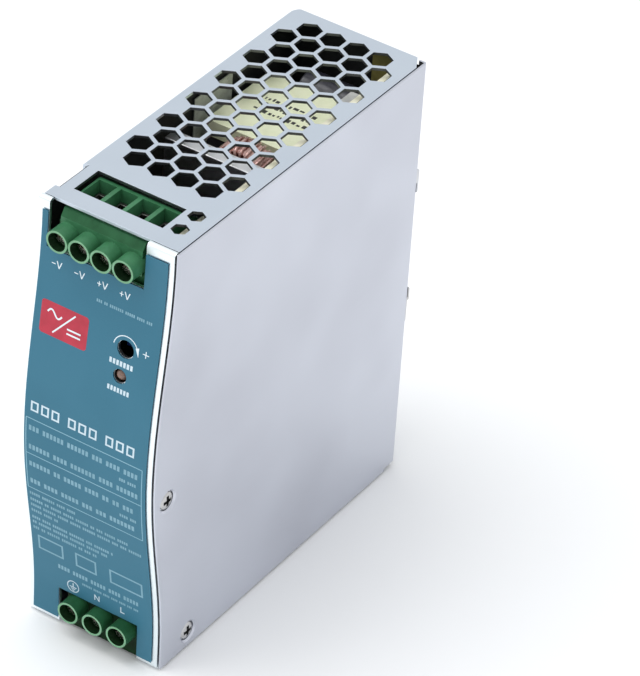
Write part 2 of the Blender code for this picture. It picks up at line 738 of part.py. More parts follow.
def make_ring(name, axis, centre, radii, along, sides, finish_material):
    """A wound ring core, with its rim rounded by one step."""
    inner, outer = radii
    low, high = along
    step = 1.2
    profile = [(inner, low + step), (inner + step, low), (outer - step, low), (outer, low + step),
               (outer, high - step), (outer - step, high), (inner + step, high),
               (inner, high - step)]
    bm = bmesh.new()
    rings = []
    for radius, place in profile:
        rings.append([bm.verts.new(in_space(axis, place, p)) for p in circle(centre, radius, sides)])
    for k, ring in enumerate(rings):
        following = rings[(k + 1) % len(rings)]
        for i in range(sides):
            j = (i + 1) % sides
            bm.faces.new((ring[j], ring[i], following[i], following[j]))
    bmesh.ops.recalc_face_normals(bm, faces=bm.faces)
    return finish(name, bm, finish_material, smooth=True)


def make_heatsink(name, y, z, mats, flange=0.0):
    """An aluminium plate with a short foot on the board and, if asked, a flange along its top."""
    outline = [(-16.5, y), (PARTS_X, y), (PARTS_X, y + 5.0), (PARTS_X - 1.6, y + 5.0),
               (PARTS_X - 1.6, y + 1.6), (-16.5, y + 1.6)]
    bm = bmesh.new()
    add_prism(bm, outline, "Z", *z)
    heatsink = finish(name, bm, mats["aluminium"])
    if flange:
        fold = bmesh.new()
        add_box(fold, (-16.5, PARTS_X), (y + 0.8, y + flange), (z[1] - 1.6, z[1]))
        combine(heatsink, fold, "UNION")
    return heatsink


def make_power_package(name, y, z, mats):
    """A flat power package: metal tab, moulded body and three legs towards the board."""
    bm = bmesh.new()
    add_box(bm, (-3.5, 5.7), (y, y + 4.4), (z, z + 10.2))
    package = finish(name, bm, mats["epoxy"])
    add = bmesh.new()
    add_box(add, (-10.0, -3.0), (y + 3.1, y + 4.4), (z, z + 10.2))
    combine(package, add, "UNION")
    add = bmesh.new()
    for i in range(3):
        leg = z + 2.55 * (i + 1)
        add_box(add, (5.0, PARTS_X), (y + 1.4, y + 2.0), (leg - 0.4, leg + 0.4))
    combine(package, add, "UNION")
    tool = bmesh.new()
    add_prism(tool, circle((-6.7, z + 5.1), 1.8, 12), "Y", y, y + 6)
    combine(package, tool, "DIFFERENCE")
    return package


def make_bridge(mats):
    """The bridge rectifier, with four legs."""
    bm = bmesh.new()
    add_box(bm, (-7.0, 8.0), (-3.0, 0.6), (20.0, 40.0))
    bridge = finish("bridge_rectifier", bm, mats["epoxy"])
    legs = bmesh.new()
    for i in range(4):
        z = 22.5 + 5.0 * i
        add_box(legs, (7.0, PARTS_X), (-1.7, -0.9), (z - 0.5, z + 0.5))
    combine(bridge, legs, "UNION")
    return bridge


def make_fuse(mats):
    profile = [(3.0, 22.0), (3.0, 27.0), (2.6, 27.0), (2.6, 37.0), (3.0, 37.0), (3.0, 42.0)]
    return simple_cylinder("fuse", "Z", (8.5, -25.0), profile, 16, mats["ceramic"])


def make_trimmer(mats):
    """The output voltage trimmer: a body on the board, and a rotor behind the front hole."""
    x, z = TRIMMER_AT
    bm = bmesh.new()
    add_box(bm, (x - 3.3, PARTS_X), (-48.8, -43.8), (z - 3.3, z + 3.3))
    body = finish("trimmer_body", bm, mats["blue"])
    tool = bmesh.new()
    add_turned(tool, [(2.2, -50.0), (2.2, -47.3)], "Y", TRIMMER_AT, 20)
    combine(body, tool, "DIFFERENCE")

    profile = [(1.6, -49.4), (1.9, -49.1), (1.9, -47.6)]
    rotor = simple_cylinder("trimmer_rotor", "Y", TRIMMER_AT, profile, 20, mats["rotor"])
    slot = bmesh.new()
    add_box(slot, (x - 1.4, x + 1.4), (-50, -48.7), (z - 0.3, z + 0.3))
    combine(rotor, slot, "DIFFERENCE")
    put_origin(rotor, x, -49.4, z)


def make_led(mats):
    """The status light, its lens level with the label."""
    profile = [(0.7, -55.0), (1.2, -54.8), (LED_R, -54.3), (LED_R, -51.4), (1.8, -51.4),
               (1.8, -50.4)]
    return simple_cylinder("status_led", "Y", LED_AT, profile, 16, mats["amber"])


def make_board_parts(mats):
    make_transformer(mats)
    for number, z in enumerate((68.0, 43.5), start=1):
        make_capacitor(f"bulk_capacitor_{number}", 37.0, z, 11.0, -14.0, mats)
    places = ((-24.0, 106.0, 6.2), (-24.0, 91.5, 6.2), (44.8, 110.0, 5.6))
    for number, (y, z, radius) in enumerate(places, start=1):
        make_capacitor(f"output_capacitor_{number}", y, z, radius, -9.0, mats)
    make_ring("output_choke", "Y", (1.0, 110.6), (3.6, 9.0), (0.2, 8.4), 18, mats["copper"])
    make_ring("common_mode_choke", "X", (-20.0, 55.0), (4.0, 10.0), (-6.0, PARTS_X), 18,
              mats["copper"])
    simple_box("x_capacitor", (-4.0, PARTS_X), (-29.0, -11.0), (68.0, 81.0), mats["film"])
    make_heatsink("heatsink_secondary", -5.5, (70.0, 119.0), mats, 4.2)
    make_heatsink("heatsink_primary", 12.0, (22.0, 78.0), mats)
    make_power_package("output_rectifier", -10.2, 86.0, mats)
    make_power_package("switch_transistor", 7.3, 46.0, mats)
    make_bridge(mats)
    make_fuse(mats)
    make_trimmer(mats)
    make_led(mats)


# ---------------------------------------------------------------- assembly
def main():
    clear_scene()
    mats = make_materials()

    make_chassis(mats)
    make_cover(mats)
    make_front_panel(mats)
    make_label(mats)
    for number, place in enumerate(COVER_SCREWS, start=1):
        make_cover_screw(number, place, mats)
    for number, place in enumerate(SPACERS, start=1):
        make_spacer(number, place, mats)

    make_rail_hook(mats)
    make_rail_latch(mats)
    for number, z in enumerate(LATCH_RIVET_Z, start=1):
        make_latch_rivet(number, z, mats)
    make_latch_spring(mats)

    output = Block("output", OUTPUT_POLES, OUTPUT_PITCH, OUTPUT_MIDDLE_X, OUTPUT_BARREL_R, True)
    make_terminal(output, -15.0, (2.7, 21.2), mats)
    entry = Block("input", INPUT_POLES, INPUT_PITCH, INPUT_MIDDLE_X, INPUT_BARREL_R, False)
    make_terminal(entry, -9.5, (2.7, 21.2), mats)

    make_main_board(mats)
    simple_box("insulation_sheet", (16.2, 16.5), (-45.0, 50.5), (6.0, 122.0), mats["sheet"])
    make_board_parts(mats)


main()
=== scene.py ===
"""Looks of the DIN rail power supply: materials, fine pieces, label print, light and camera.

Lengths are millimetres in the model's frame unless a name says otherwise; the helpers turn them into metres.
"""
import json
import math
import random

import bmesh
import bpy
from mathutils import Matrix, Vector

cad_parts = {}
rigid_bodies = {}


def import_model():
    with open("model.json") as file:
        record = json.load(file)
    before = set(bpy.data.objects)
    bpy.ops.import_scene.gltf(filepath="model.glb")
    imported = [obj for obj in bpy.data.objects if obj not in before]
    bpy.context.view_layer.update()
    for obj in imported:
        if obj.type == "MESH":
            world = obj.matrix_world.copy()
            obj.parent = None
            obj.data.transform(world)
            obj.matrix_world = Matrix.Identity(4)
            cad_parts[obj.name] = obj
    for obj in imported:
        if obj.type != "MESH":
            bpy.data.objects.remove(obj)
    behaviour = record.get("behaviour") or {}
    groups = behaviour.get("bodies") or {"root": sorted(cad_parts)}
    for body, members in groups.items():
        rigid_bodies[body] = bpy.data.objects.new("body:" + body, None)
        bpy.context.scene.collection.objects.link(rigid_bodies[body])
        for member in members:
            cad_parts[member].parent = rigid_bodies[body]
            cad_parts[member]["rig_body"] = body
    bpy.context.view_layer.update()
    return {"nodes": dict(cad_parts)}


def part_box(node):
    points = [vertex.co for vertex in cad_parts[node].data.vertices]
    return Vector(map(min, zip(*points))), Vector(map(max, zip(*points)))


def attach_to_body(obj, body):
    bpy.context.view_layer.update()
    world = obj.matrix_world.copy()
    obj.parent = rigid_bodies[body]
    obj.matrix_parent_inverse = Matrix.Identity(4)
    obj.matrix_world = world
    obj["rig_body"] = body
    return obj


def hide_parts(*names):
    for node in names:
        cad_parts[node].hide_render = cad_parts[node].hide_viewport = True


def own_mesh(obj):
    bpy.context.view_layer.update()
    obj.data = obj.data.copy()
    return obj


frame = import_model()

MM = 0.001


def span(node):
    """A node's lowest and highest corners in millimetres."""
    low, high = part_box(node)
    return low / MM, high / MM


def middle(node, axes):
    """The middle of a node's box, in the two axes named."""
    low, high = span(node)
    return tuple((getattr(low, axis) + getattr(high, axis)) / 2 for axis in axes)


CASE_LOW, CASE_HIGH = span("chassis")
PANEL_LOW, PANEL_HIGH = span("front_panel")
LABEL_LOW, LABEL_HIGH = span("front_label")
COVER_HIGH = span("side_cover")[1]
HEIGHT = CASE_HIGH.z
SHEET = 0.8  # thickness of the folded case
FILM = 0.12  # thickness of the lining, the tape and the printed label
PARTS_X = span("main_board")[0].x - 0.1  # where parts on the board end, just short of it
MERGE_M = 1e-6
FLAT_DEGREES = 0.4
EDGE_DEGREES = 28
SHARP_DEGREES = 50


# ---- mesh helpers
def in_space(axis, along, across):
    """A point from its place along an axis and its other two coordinates in X, Y, Z order."""
    point = list(across)
    point.insert("XYZ".index(axis), along)
    return Vector(point) * MM


def circle(centre, radius, sides):
    step = 2 * math.pi / sides
    return [(centre[0] + radius * math.cos(i * step), centre[1] + radius * math.sin(i * step))
            for i in range(sides)]


def skin(bm, first, second):
    """Faces between two rings of points, where a ring may be one point."""
    sides = max(len(first), len(second))
    faces = []
    for i in range(sides):
        j = (i + 1) % sides
        loop = [first[j % len(first)], first[i % len(first)], second[i % len(second)],
                second[j % len(second)]]
        faces.append(bm.faces.new(list(dict.fromkeys(loop))))
    return faces


def add_prism(bm, outline, axis, low, high):
    """A solid between two places on an axis; the outline gives the other two coordinates."""
    start = [bm.verts.new(in_space(axis, low, p)) for p in outline]
    end = [bm.verts.new(in_space(axis, high, p)) for p in outline]
    faces = [bm.faces.new(start), bm.faces.new(end[::-1])] + skin(bm, start, end)
    bmesh.ops.recalc_face_normals(bm, faces=faces)
    return bm


def add_box(bm, x, y, z):
    """A box from its two ends along each axis."""
    outline = [(y[0], z[0]), (y[1], z[0]), (y[1], z[1]), (y[0], z[1])]
    return add_prism(bm, outline, "X", *x)


def add_turned(bm, profile, axis, centre, sides):
    """Turn (radius, along) points about an axis; a radius of zero closes to a point."""
    rings = []
    for radius, along in profile:
        if radius == 0:
            rings.append([bm.verts.new(in_space(axis, along, centre))])
        else:
            rings.append([bm.verts.new(in_space(axis, along, p)) for p in circle(centre, radius, sides)])
    faces = []
    for ring in (rings[0], rings[-1]):
        if len(ring) > 1:
            faces.append(bm.faces.new(ring))
    for first, second in zip(rings, rings[1:]):
        faces += skin(bm, first, second)
    bmesh.ops.recalc_face_normals(bm, faces=faces)
    return bm


def sharpen(mesh, degrees):
    """Keep an edge crisp where its faces meet at more than an angle."""
    mesh.set_sharp_from_angle(angle=math.radians(degrees))


def linked(name, data):
    obj = bpy.data.objects.new(name, data)
    bpy.context.scene.collection.objects.link(obj)
    return obj


def make_object(name, bm, materials, smooth=35):
    """An object from a bmesh, shaded smooth up to an angle in degrees between faces."""
    mesh = bpy.data.meshes.new(name)
    bm.to_mesh(mesh)
    bm.free()
    for item in materials:
        mesh.materials.append(item)
    mesh.shade_smooth()
    sharpen(mesh, smooth)
    return linked(name, mesh)


def modify(obj, kind, **settings):
    """Apply one modifier to an object's mesh."""
    modifier = obj.modifiers.new(kind.lower(), kind)
    for key, value in settings.items():
        setattr(modifier, key, value)
    depsgraph = bpy.context.evaluated_depsgraph_get()
    result = bpy.data.meshes.new_from_object(obj.evaluated_get(depsgraph))
    obj.modifiers.clear()
    obj.data = result


def combine(target, tool_bm, operation):
    """Cut away or join a tool shape."""
    tool = make_object(target.name + "_tool", tool_bm, [])
    modify(target, "BOOLEAN", object=tool, operation=operation, solver="EXACT")
    bpy.data.objects.remove(tool, do_unlink=True)


def cut_box(target, x, y, z):
    combine(target, add_box(bmesh.new(), x, y, z), "DIFFERENCE")


def box(name, material, x, y, z):
    return make_object(name, add_box(bmesh.new(), x, y, z), [material])


def prism(name, material, outline, axis, low, high):
    return make_object(name, add_prism(bmesh.new(), outline, axis, low, high), [material])


def turned(name, materials, profile, axis, centre, sides, smooth=35):
    return make_object(name, add_turned(bmesh.new(), profile, axis, centre, sides), materials, smooth)


def welded(mesh):
    """A working copy of a mesh with its doubled corners joined."""
    bm = bmesh.new()
    bm.from_mesh(mesh)
    bmesh.ops.remove_doubles(bm, verts=bm.verts, dist=MERGE_M)
    return bm


def soften(obj, width, segments=2, angle=EDGE_DEGREES):
    """Round the sharp edges by a small width and give the faces even normals."""
    bm = welded(obj.data)
    bmesh.ops.dissolve_limit(bm, angle_limit=math.radians(FLAT_DEGREES), verts=bm.verts, edges=bm.edges,
                             delimit={"MATERIAL"})
    bm.to_mesh(obj.data)
    bm.free()
    modify(obj, "BEVEL", width=width * MM, segments=segments, limit_method="ANGLE",
           angle_limit=math.radians(angle), use_clamp_overlap=True)
    obj.data.shade_smooth()
    sharpen(obj.data, SHARP_DEGREES)
    modify(obj, "WEIGHTED_NORMAL", weight=100, keep_sharp=True)


def attach(piece, node=None):
    """Hide the CAD node that a finished piece stands for, and tie the piece to the body it moves with."""
    if node:
        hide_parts(node)
    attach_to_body(piece, frame["nodes"][node]["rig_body"] if node else "case")


def refined(node, materials, width=0.12, segments=2, pick=None):
    """A copy of a CAD node with softened edges. pick gives a face's material number."""
    bm = welded(frame["nodes"][node].data)
    bm.normal_update()
    for face in bm.faces:
        face.material_index = pick(face.calc_center_median() / MM, face.normal) if pick else 0
    piece = make_object(node + "_fine", bm, materials, EDGE_DEGREES)
    if width:
        soften(piece, width, segments)
    attach(piece, node)


# ---- material helpers
class Nodes:
    """Short names for building one material's nodes."""

    def __init__(self, name):
        self.material = bpy.data.materials.new(name)
        self.material.use_nodes = True
        self.tree = self.material.node_tree
        self.shader = self.tree.nodes["Principled BSDF"]

    def new(self, kind, **inputs):
        """A node with its inputs set; an underscore in a name stands for a space."""
        node = self.tree.nodes.new(kind)
        for key, value in inputs.items():
            node.inputs[key.replace("_", " ")].default_value = value
        return node

    def link(self, output, target):
        self.tree.links.new(output, target)

    def place(self, scale):
        """Object coordinates stretched by a scale for each axis, per millimetre."""
        coordinates = self.new("ShaderNodeTexCoord")
        mapping = self.new("ShaderNodeMapping", Scale=tuple(s / MM for s in scale))
        self.link(coordinates.outputs["Object"], mapping.inputs["Vector"])
        return mapping.outputs["Vector"]

    def noise(self, scale, detail, roughness):
        """Noise whose scale is one number, or one for each axis."""
        if isinstance(scale, float):
            scale = (scale,) * 3
        noise = self.new("ShaderNodeTexNoise", Scale=1.0, Detail=detail, Roughness=roughness)
        self.link(self.place(scale), noise.inputs["Vector"])
        return noise.outputs["Fac"]

    def span(self, value, low, high, to_low, to_high):
        node = self.new("ShaderNodeMapRange", From_Min=low, From_Max=high, To_Min=to_low, To_Max=to_high)
        self.link(value, node.inputs["Value"])
        return node.outputs["Result"]

    def mix(self, factor, first, second):
        """Blend two colours; each is a colour or a socket."""
        node = self.new("ShaderNodeMix")
        node.data_type = "RGBA"
        self.link(factor, node.inputs[0])
        for value, socket in ((first, node.inputs[6]), (second, node.inputs[7])):
            if isinstance(value, tuple):
                socket.default_value = (*value, 1.0)
            else:
                self.link(value, socket)
        return node.outputs[2]

    def clouds(self, value, dark, light):
        """Two colours blended by the middle of a noise's range."""
        return self.mix(self.span(value, 0.35, 0.65, 0.0, 1.0), dark, light)

    def bump(self, height, strength, distance_mm, under=None):
        node = self.new("ShaderNodeBump", Strength=strength, Distance=distance_mm * MM)
        self.link(height, node.inputs["Height"])
        if under:
            self.link(under, node.inputs["Normal"])
        self.link(node.outputs["Normal"], self.shader.inputs["Normal"])
        return node.outputs["Normal"]

    def set(self, **values):
        for key, value in values.items():
            self.shader.inputs[key.replace("_", " ")].default_value = value

    def colour(self, socket):
        self.link(socket, self.shader.inputs["Base Color"])

    def roughness(self, socket):
        self.link(socket, self.shader.inputs["Roughness"])


def satin_metal(name, light, dark, roughness, grain, cloud=0.03):
    """Rolled sheet: fine streaks along one axis, faint clouds and a slight grain."""
    n = Nodes(name)
    n.set(Metallic=1.0)
    streaks = n.noise(grain, 3.0, 0.5)
    specks = n.noise(2.4, 2.0, 0.5)
    tone = n.clouds(n.noise(cloud, 2.0, 0.5), dark, light)
    n.colour(n.mix(n.span(streaks, 0.3, 0.7, 0.0, 0.25), tone, light))
    n.roughness(n.span(streaks, 0.3, 0.7, roughness - 0.03, roughness + 0.04))
    under = n.bump(specks, 0.06, 0.015)
    n.bump(streaks, 0.03, 0.006, under)
    return n.material


def moulded(name, light, dark, roughness, grain=6.0, bump=0.15, subsurface=0.0, coat=0.0, specular=0.5):
    """Moulded plastic: faint colour clouds and a fine matte grain."""
    n = Nodes(name)
    fine = n.noise(grain, 2.0, 0.6)
    n.colour(n.clouds(n.noise(0.25, 3.0, 0.6), dark, light))
    n.roughness(n.span(fine, 0.3, 0.7, roughness - 0.05, roughness + 0.08))
    n.bump(fine, bump, 0.02)
    n.set(IOR=1.5, Specular_IOR_Level=specular, Coat_Weight=coat, Coat_Roughness=0.15)
    if subsurface:
        n.set(Subsurface_Weight=subsurface, Subsurface_Radius=(0.0004, 0.0009, 0.0004),
              Subsurface_Scale=1.0)
    return n.material


# key: material name, light and dark colour, roughness, scale of the streaks, and of the clouds
METALS = {
    "case": ("case_sheet", (0.6, 0.66, 0.73), (0.56, 0.62, 0.69), 0.38, (4.0, 0.08, 4.0)),
    "cover": ("cover_sheet", (0.62, 0.64, 0.705), (0.53, 0.545, 0.605), 0.32, (4.0, 0.08, 4.0), 0.02),
    "panel": ("panel_sheet", (0.93, 0.99, 1.0), (0.89, 0.955, 0.99), 0.34, (0.05, 3.0, 3.0)),
    # dark edge colour: painted shade on the walls of the vents and of the two round holes
    "cut_edge_shade": ("cut_edge_shade", (0.2, 0.21, 0.22), (0.12, 0.125, 0.13), 0.45, 2.0),
    "steel": ("zinc_steel", (0.62, 0.62, 0.62), (0.48, 0.47, 0.46), 0.3, 1.5),
    "hook": ("clip_steel", (0.66, 0.67, 0.69), (0.54, 0.55, 0.57), 0.34, (0.1, 2.0, 2.0)),
    # recess: dark steel that paints the shade in the cover screws' cross recesses
    "recess": ("recess_painted_shade", (0.16, 0.16, 0.16), (0.07, 0.07, 0.07), 0.35, 1.5),
    # clamp: steel darkened to paint the shade in the wire wells
    "clamp": ("clamp_painted_shade", (0.2, 0.2, 0.19), (0.12, 0.12, 0.11), 0.34, 1.5),
    # screw: plated steel, lightened past the other steel so that the screws deep in the shaded bores give
    # bright glints: painted highlight
    "screw": ("screw_steel_painted_glint", (0.95, 0.91, 0.83), (0.82, 0.77, 0.68), 0.26, 1.5),
    "tin": ("tin_plate", (0.78, 0.76, 0.7), (0.6, 0.57, 0.5), 0.28, 1.0),
    "brass": ("brass", (0.72, 0.55, 0.28), (0.6, 0.44, 0.2), 0.3, 1.0),
    "aluminium": ("aluminium_plate", (0.86, 0.87, 0.88), (0.74, 0.75, 0.77), 0.35, (0.05, 3.0, 3.0)),
}
INK_GRAIN = (10.0, 0.05)
# key: material name, light and dark colour, roughness, grain, bump, subsurface, coat, specular
PLASTICS = {
    "green": ("terminal_green", (0.05, 0.196, 0.09), (0.034, 0.15, 0.064), 0.42,
              5.0, 0.12, 0.1, 0.0, 0.35),
    # A darker copy of the terminal green: painted shade on the input block and on the slab round the
    # barrels.
    "green_painted_shade": ("terminal_green_painted_shade", (0.022, 0.112, 0.044), (0.014, 0.082, 0.03), 0.5,
                  5.0, 0.12, 0.1, 0.0, 0.2),
    # A paler copy of the terminal green: painted highlight on the barrels' rims.
    "green_rim_highlight": ("terminal_rim_highlight", (0.21, 0.43, 0.26), (0.15, 0.35, 0.19), 0.45, 5.0, 0.12, 0.1),
    # A near-black copy of the terminal green: painted shade in the bores and on the input slab.
    "green_bore_shade": ("terminal_bore_shade", (0.005, 0.032, 0.008), (0.003, 0.018, 0.005), 0.55,
                   5.0, 0.12, 0.0, 0.0, 0.15),
    "black": ("black_epoxy", (0.022, 0.022, 0.024), (0.012, 0.012, 0.013), 0.5, 4.0, 0.25),
    "ferrite": ("ferrite_grey", (0.055, 0.055, 0.06), (0.03, 0.03, 0.033), 0.55, 3.0, 0.4),
    "tape": ("yellow_film", (0.97, 1.0, 0.72), (0.91, 0.95, 0.65), 0.36, 1.5, 0.2, 0.0, 0.3),
    "tape_ink": ("tape_print", (0.06, 0.06, 0.05), (0.03, 0.03, 0.03), 0.5),
    "bobbin": ("bobbin_plastic", (0.62, 0.62, 0.6), (0.5, 0.5, 0.48), 0.5),
    # A black film that paints the shade inside the case.
    "shade_lining": ("black_shade_lining", (0.012, 0.013, 0.013), (0.006, 0.007, 0.007), 0.6, 2.0, 0.1),
    "olive": ("olive_paper", (0.3, 0.26, 0.08), (0.22, 0.19, 0.05), 0.6, 3.0, 0.2),
    "haze": ("clear_film", (0.62, 0.65, 0.58), (0.46, 0.49, 0.43), 0.3, 0.6, 0.3, 0.0, 0.4),
    "sleeve": ("shrink_sleeve", (0.035, 0.035, 0.05), (0.02, 0.02, 0.03), 0.32, 2.0, 0.1, 0.0, 0.3),
    "film": ("film_yellow", (0.72, 0.58, 0.14), (0.62, 0.48, 0.1), 0.38, 3.0, 0.15),
    "blue": ("trimmer_blue", (0.03, 0.1, 0.42), (0.02, 0.07, 0.32), 0.38),
    "cream": ("cream_plastic", (0.74, 0.71, 0.6), (0.66, 0.62, 0.5), 0.45),
    "ceramic": ("ceramic", (0.74, 0.72, 0.66), (0.66, 0.63, 0.56), 0.35, 3.0, 0.1, 0.0, 0.4),
    "laminate": ("laminate_edge", (0.99, 0.97, 0.78), (0.92, 0.88, 0.66), 0.6, 8.0, 0.3),
    "sheet": ("insulating_film", (0.72, 0.71, 0.64), (0.66, 0.65, 0.58), 0.4, 1.0, 0.1),
    "ink": ("white_ink", (0.8, 0.88, 0.92), (0.72, 0.82, 0.88), 0.5, *INK_GRAIN),
    "faint_ink": ("faint_ink", (0.21, 0.4, 0.5), (0.17, 0.35, 0.44), 0.5, *INK_GRAIN),
    "title_ink": ("title_ink", (0.62, 0.75, 0.82), (0.55, 0.68, 0.76), 0.5, *INK_GRAIN),
    "table_ink": ("table_ink", (0.27, 0.5, 0.61), (0.23, 0.45, 0.56), 0.5, *INK_GRAIN),
    "red_ink": ("red_ink", (0.5, 0.022, 0.052), (0.42, 0.016, 0.04), 0.45, *INK_GRAIN),
    "dark_mask": ("dark_mask", (0.012, 0.05, 0.022), (0.006, 0.028, 0.012), 0.4, 2.0, 0.1),
}


def make_materials():
    m = {key: satin_metal(*values) for key, values in METALS.items()}
    for key, values in PLASTICS.items():
        m[key] = moulded(*values)
    m["label"] = label_material()
    m["mask"] = solder_mask_material()
    m["copper"] = enamel_material()
    m["lens"] = lens_material()
    return m


def label_material():
    """Printed film: muted blue, a whisper of print grain and a soft satin varnish."""
    n = Nodes("label_film")
    fine = n.noise(7.0, 2.0, 0.6)
    base = n.clouds(n.noise(0.05, 2.0, 0.5), (0.037, 0.156, 0.232), (0.044, 0.171, 0.252))
    n.colour(n.mix(n.span(fine, 0.35, 0.65, 0.0, 0.35), base, (0.055, 0.194, 0.278)))
    n.roughness(n.span(fine, 0.3, 0.7, 0.40, 0.52))
    n.bump(fine, 0.08, 0.01)
    n.set(IOR=1.46, Specular_IOR_Level=0.25)
    return n.material


def solder_mask_material():
    """Olive solder mask with slightly raised tracks."""
    n = Nodes("solder_mask")
    brick = n.new("ShaderNodeTexBrick", Scale=2.2, Mortar_Size=0.03, Color1=(1, 1, 1, 1),
                  Color2=(0.7, 0.7, 0.7, 1), Mortar=(0, 0, 0, 1))
    swizzle = n.new("ShaderNodeSeparateXYZ")
    join = n.new("ShaderNodeCombineXYZ")
    n.link(n.place((1.0, 0.10, 0.10)), swizzle.inputs["Vector"])
    n.link(swizzle.outputs["Y"], join.inputs["X"])
    n.link(swizzle.outputs["Z"], join.inputs["Y"])
    n.link(join.outputs["Vector"], brick.inputs["Vector"])
    clouds = n.noise(0.2, 3.0, 0.6)
    copper = n.clouds(clouds, (0.115, 0.135, 0.035), (0.145, 0.165, 0.045))
    n.colour(n.mix(brick.outputs["Fac"], copper, (0.050, 0.065, 0.018)))
    n.roughness(n.span(clouds, 0.3, 0.7, 0.32, 0.45))
    n.bump(brick.outputs["Fac"], 0.4, 0.04)
    n.set(IOR=1.5)
    return n.material


def enamel_material():
    """Enamelled copper wire."""
    n = Nodes("enamelled_copper")
    clouds = n.noise(0.4, 3.0, 0.6)
    n.colour(n.clouds(clouds, (0.50, 0.27, 0.24), (0.78, 0.52, 0.47)))
    n.roughness(n.span(clouds, 0.3, 0.7, 0.22, 0.34))
    n.set(Metallic=0.75, Coat_Weight=0.5, Coat_Roughness=0.12)
    return n.material


def lens_material():
    """Unlit amber lens, slightly cloudy."""
    n = Nodes("amber_lens")
    fine = n.noise(1.2, 2.0, 0.5)
    n.colour(n.mix(n.span(fine, 0.3, 0.7, 0.0, 1.0), (0.165, 0.098, 0.072), (0.22, 0.13, 0.098)))
    n.roughness(n.span(fine, 0.3, 0.7, 0.22, 0.32))
    n.set(IOR=1.5, Subsurface_Weight=0.3, Subsurface_Radius=(0.001, 0.0005, 0.0003),
          Subsurface_Scale=1.0, Coat_Weight=0.3)
    return n.material


# ---- the front curve
BELLY_Y = PANEL_LOW.y
BELLY_RISE = 5.55
BELLY_Z = 61.0
REACH_UP = 62.5
REACH_DOWN = 55.0
FILM_SKIN = BELLY_Y - LABEL_LOW.y - 0.025
INK_SKIN = FILM_SKIN + 0.02
FLANGE_END_Y = -49.8
CURVE_STEPS = 90
CUT_Y = (-60, -45)
OVER_TOP_Z = 130
OUTPUT_WINDOW = (-16.7, 11.3, 112.6)
INPUT_WINDOW = (-10.7, 13.1, 10.95)
TRIMMER_AT = (8.3, 94.8)
TRIMMER_HOLE = 2.3
LED_AT = (7.6, 87.2)
LED_HOLE = 1.8
TAB_Z = (48.3, 57.3)
TAB_SCREW_AT = (-50.65, 52.8)
TAB_HOLE = 1.8


def front_line(z):
    """The Y of the front panel's outer face at a height."""
    reach = REACH_UP if z > BELLY_Z else REACH_DOWN
    share = min(1.0, abs(z - BELLY_Z) / reach)
    return BELLY_Y + BELLY_RISE * (1 - 0.5 * (1 + math.cos(math.pi * share)))


def strip(low, high, outer, thickness):
    """An outline in Y and Z that follows the front curve."""
    heights = [low + (high - low) * i / CURVE_STEPS for i in range(CURVE_STEPS + 1)]
    front = [(front_line(z) - outer, z) for z in heights]
    back = [(front_line(z) - outer + thickness, z) for z in reversed(heights)]
    return front + back


def folded_panel():
    """The panel in section: the front curve, folded back round a small bend at both ends."""
    front = BELLY_Y + BELLY_RISE
    bend, tight = SHEET + 0.15, 0.4
    arc = [(math.cos(math.radians(a)), math.sin(math.radians(a))) for a in range(0, 91, 15)]
    foot = [(front + tight * (1 - c), tight * (1 - d)) for c, d in arc]
    head = [(front + bend * (1 - c), HEIGHT - bend * (1 - d)) for c, d in arc]
    curve = strip(bend, HEIGHT - bend, 0.0, SHEET)
    outer, inner = curve[1:CURVE_STEPS], curve[CURVE_STEPS + 2:-1]
    inside = front + SHEET
    return ([(FLANGE_END_Y, 0.0)] + list(reversed(foot)) + outer + head + [(FLANGE_END_Y, HEIGHT)]
            + [(FLANGE_END_Y, HEIGHT - SHEET), (inside, HEIGHT - SHEET)] + inner
            + [(inside, SHEET), (FLANGE_END_Y, SHEET)])


def even_front(piece):
    """Give the curved faces the normals of the front curve itself, so that no facet shows."""
    mesh = piece.data
    normals = []
    for polygon in mesh.polygons:
        for index in polygon.loop_indices:
            height = mesh.vertices[mesh.loops[index].vertex_index].co.z / MM
            slope = (front_line(height + 0.05) - front_line(height - 0.05)) / 0.1
            curve = Vector((0.0, -1.0, slope)).normalized()
            follows = polygon.normal.dot(curve)
            corner = mesh.corner_normals[index].vector
            normals.append(curve if follows > 0.97 else corner.copy())
    mesh.normals_split_custom_set(normals)


def cut_front(piece, extra=0.0):
    """The terminal windows and the two round holes; extra opens them a little for the film."""
    tool = bmesh.new()
    low_x, high_x, sill = OUTPUT_WINDOW
    add_box(tool, (low_x - extra, high_x + extra), CUT_Y, (sill - extra, OVER_TOP_Z))
    low_x, high_x, head = INPUT_WINDOW
    add_box(tool, (low_x - extra, high_x + extra), CUT_Y, (-2, head + extra))
    add_prism(tool, circle(TRIMMER_AT, TRIMMER_HOLE + extra, 56), "Y", *CUT_Y)
    add_prism(tool, circle(LED_AT, LED_HOLE + extra, 48), "Y", *CUT_Y)
    combine(piece, tool, "DIFFERENCE")


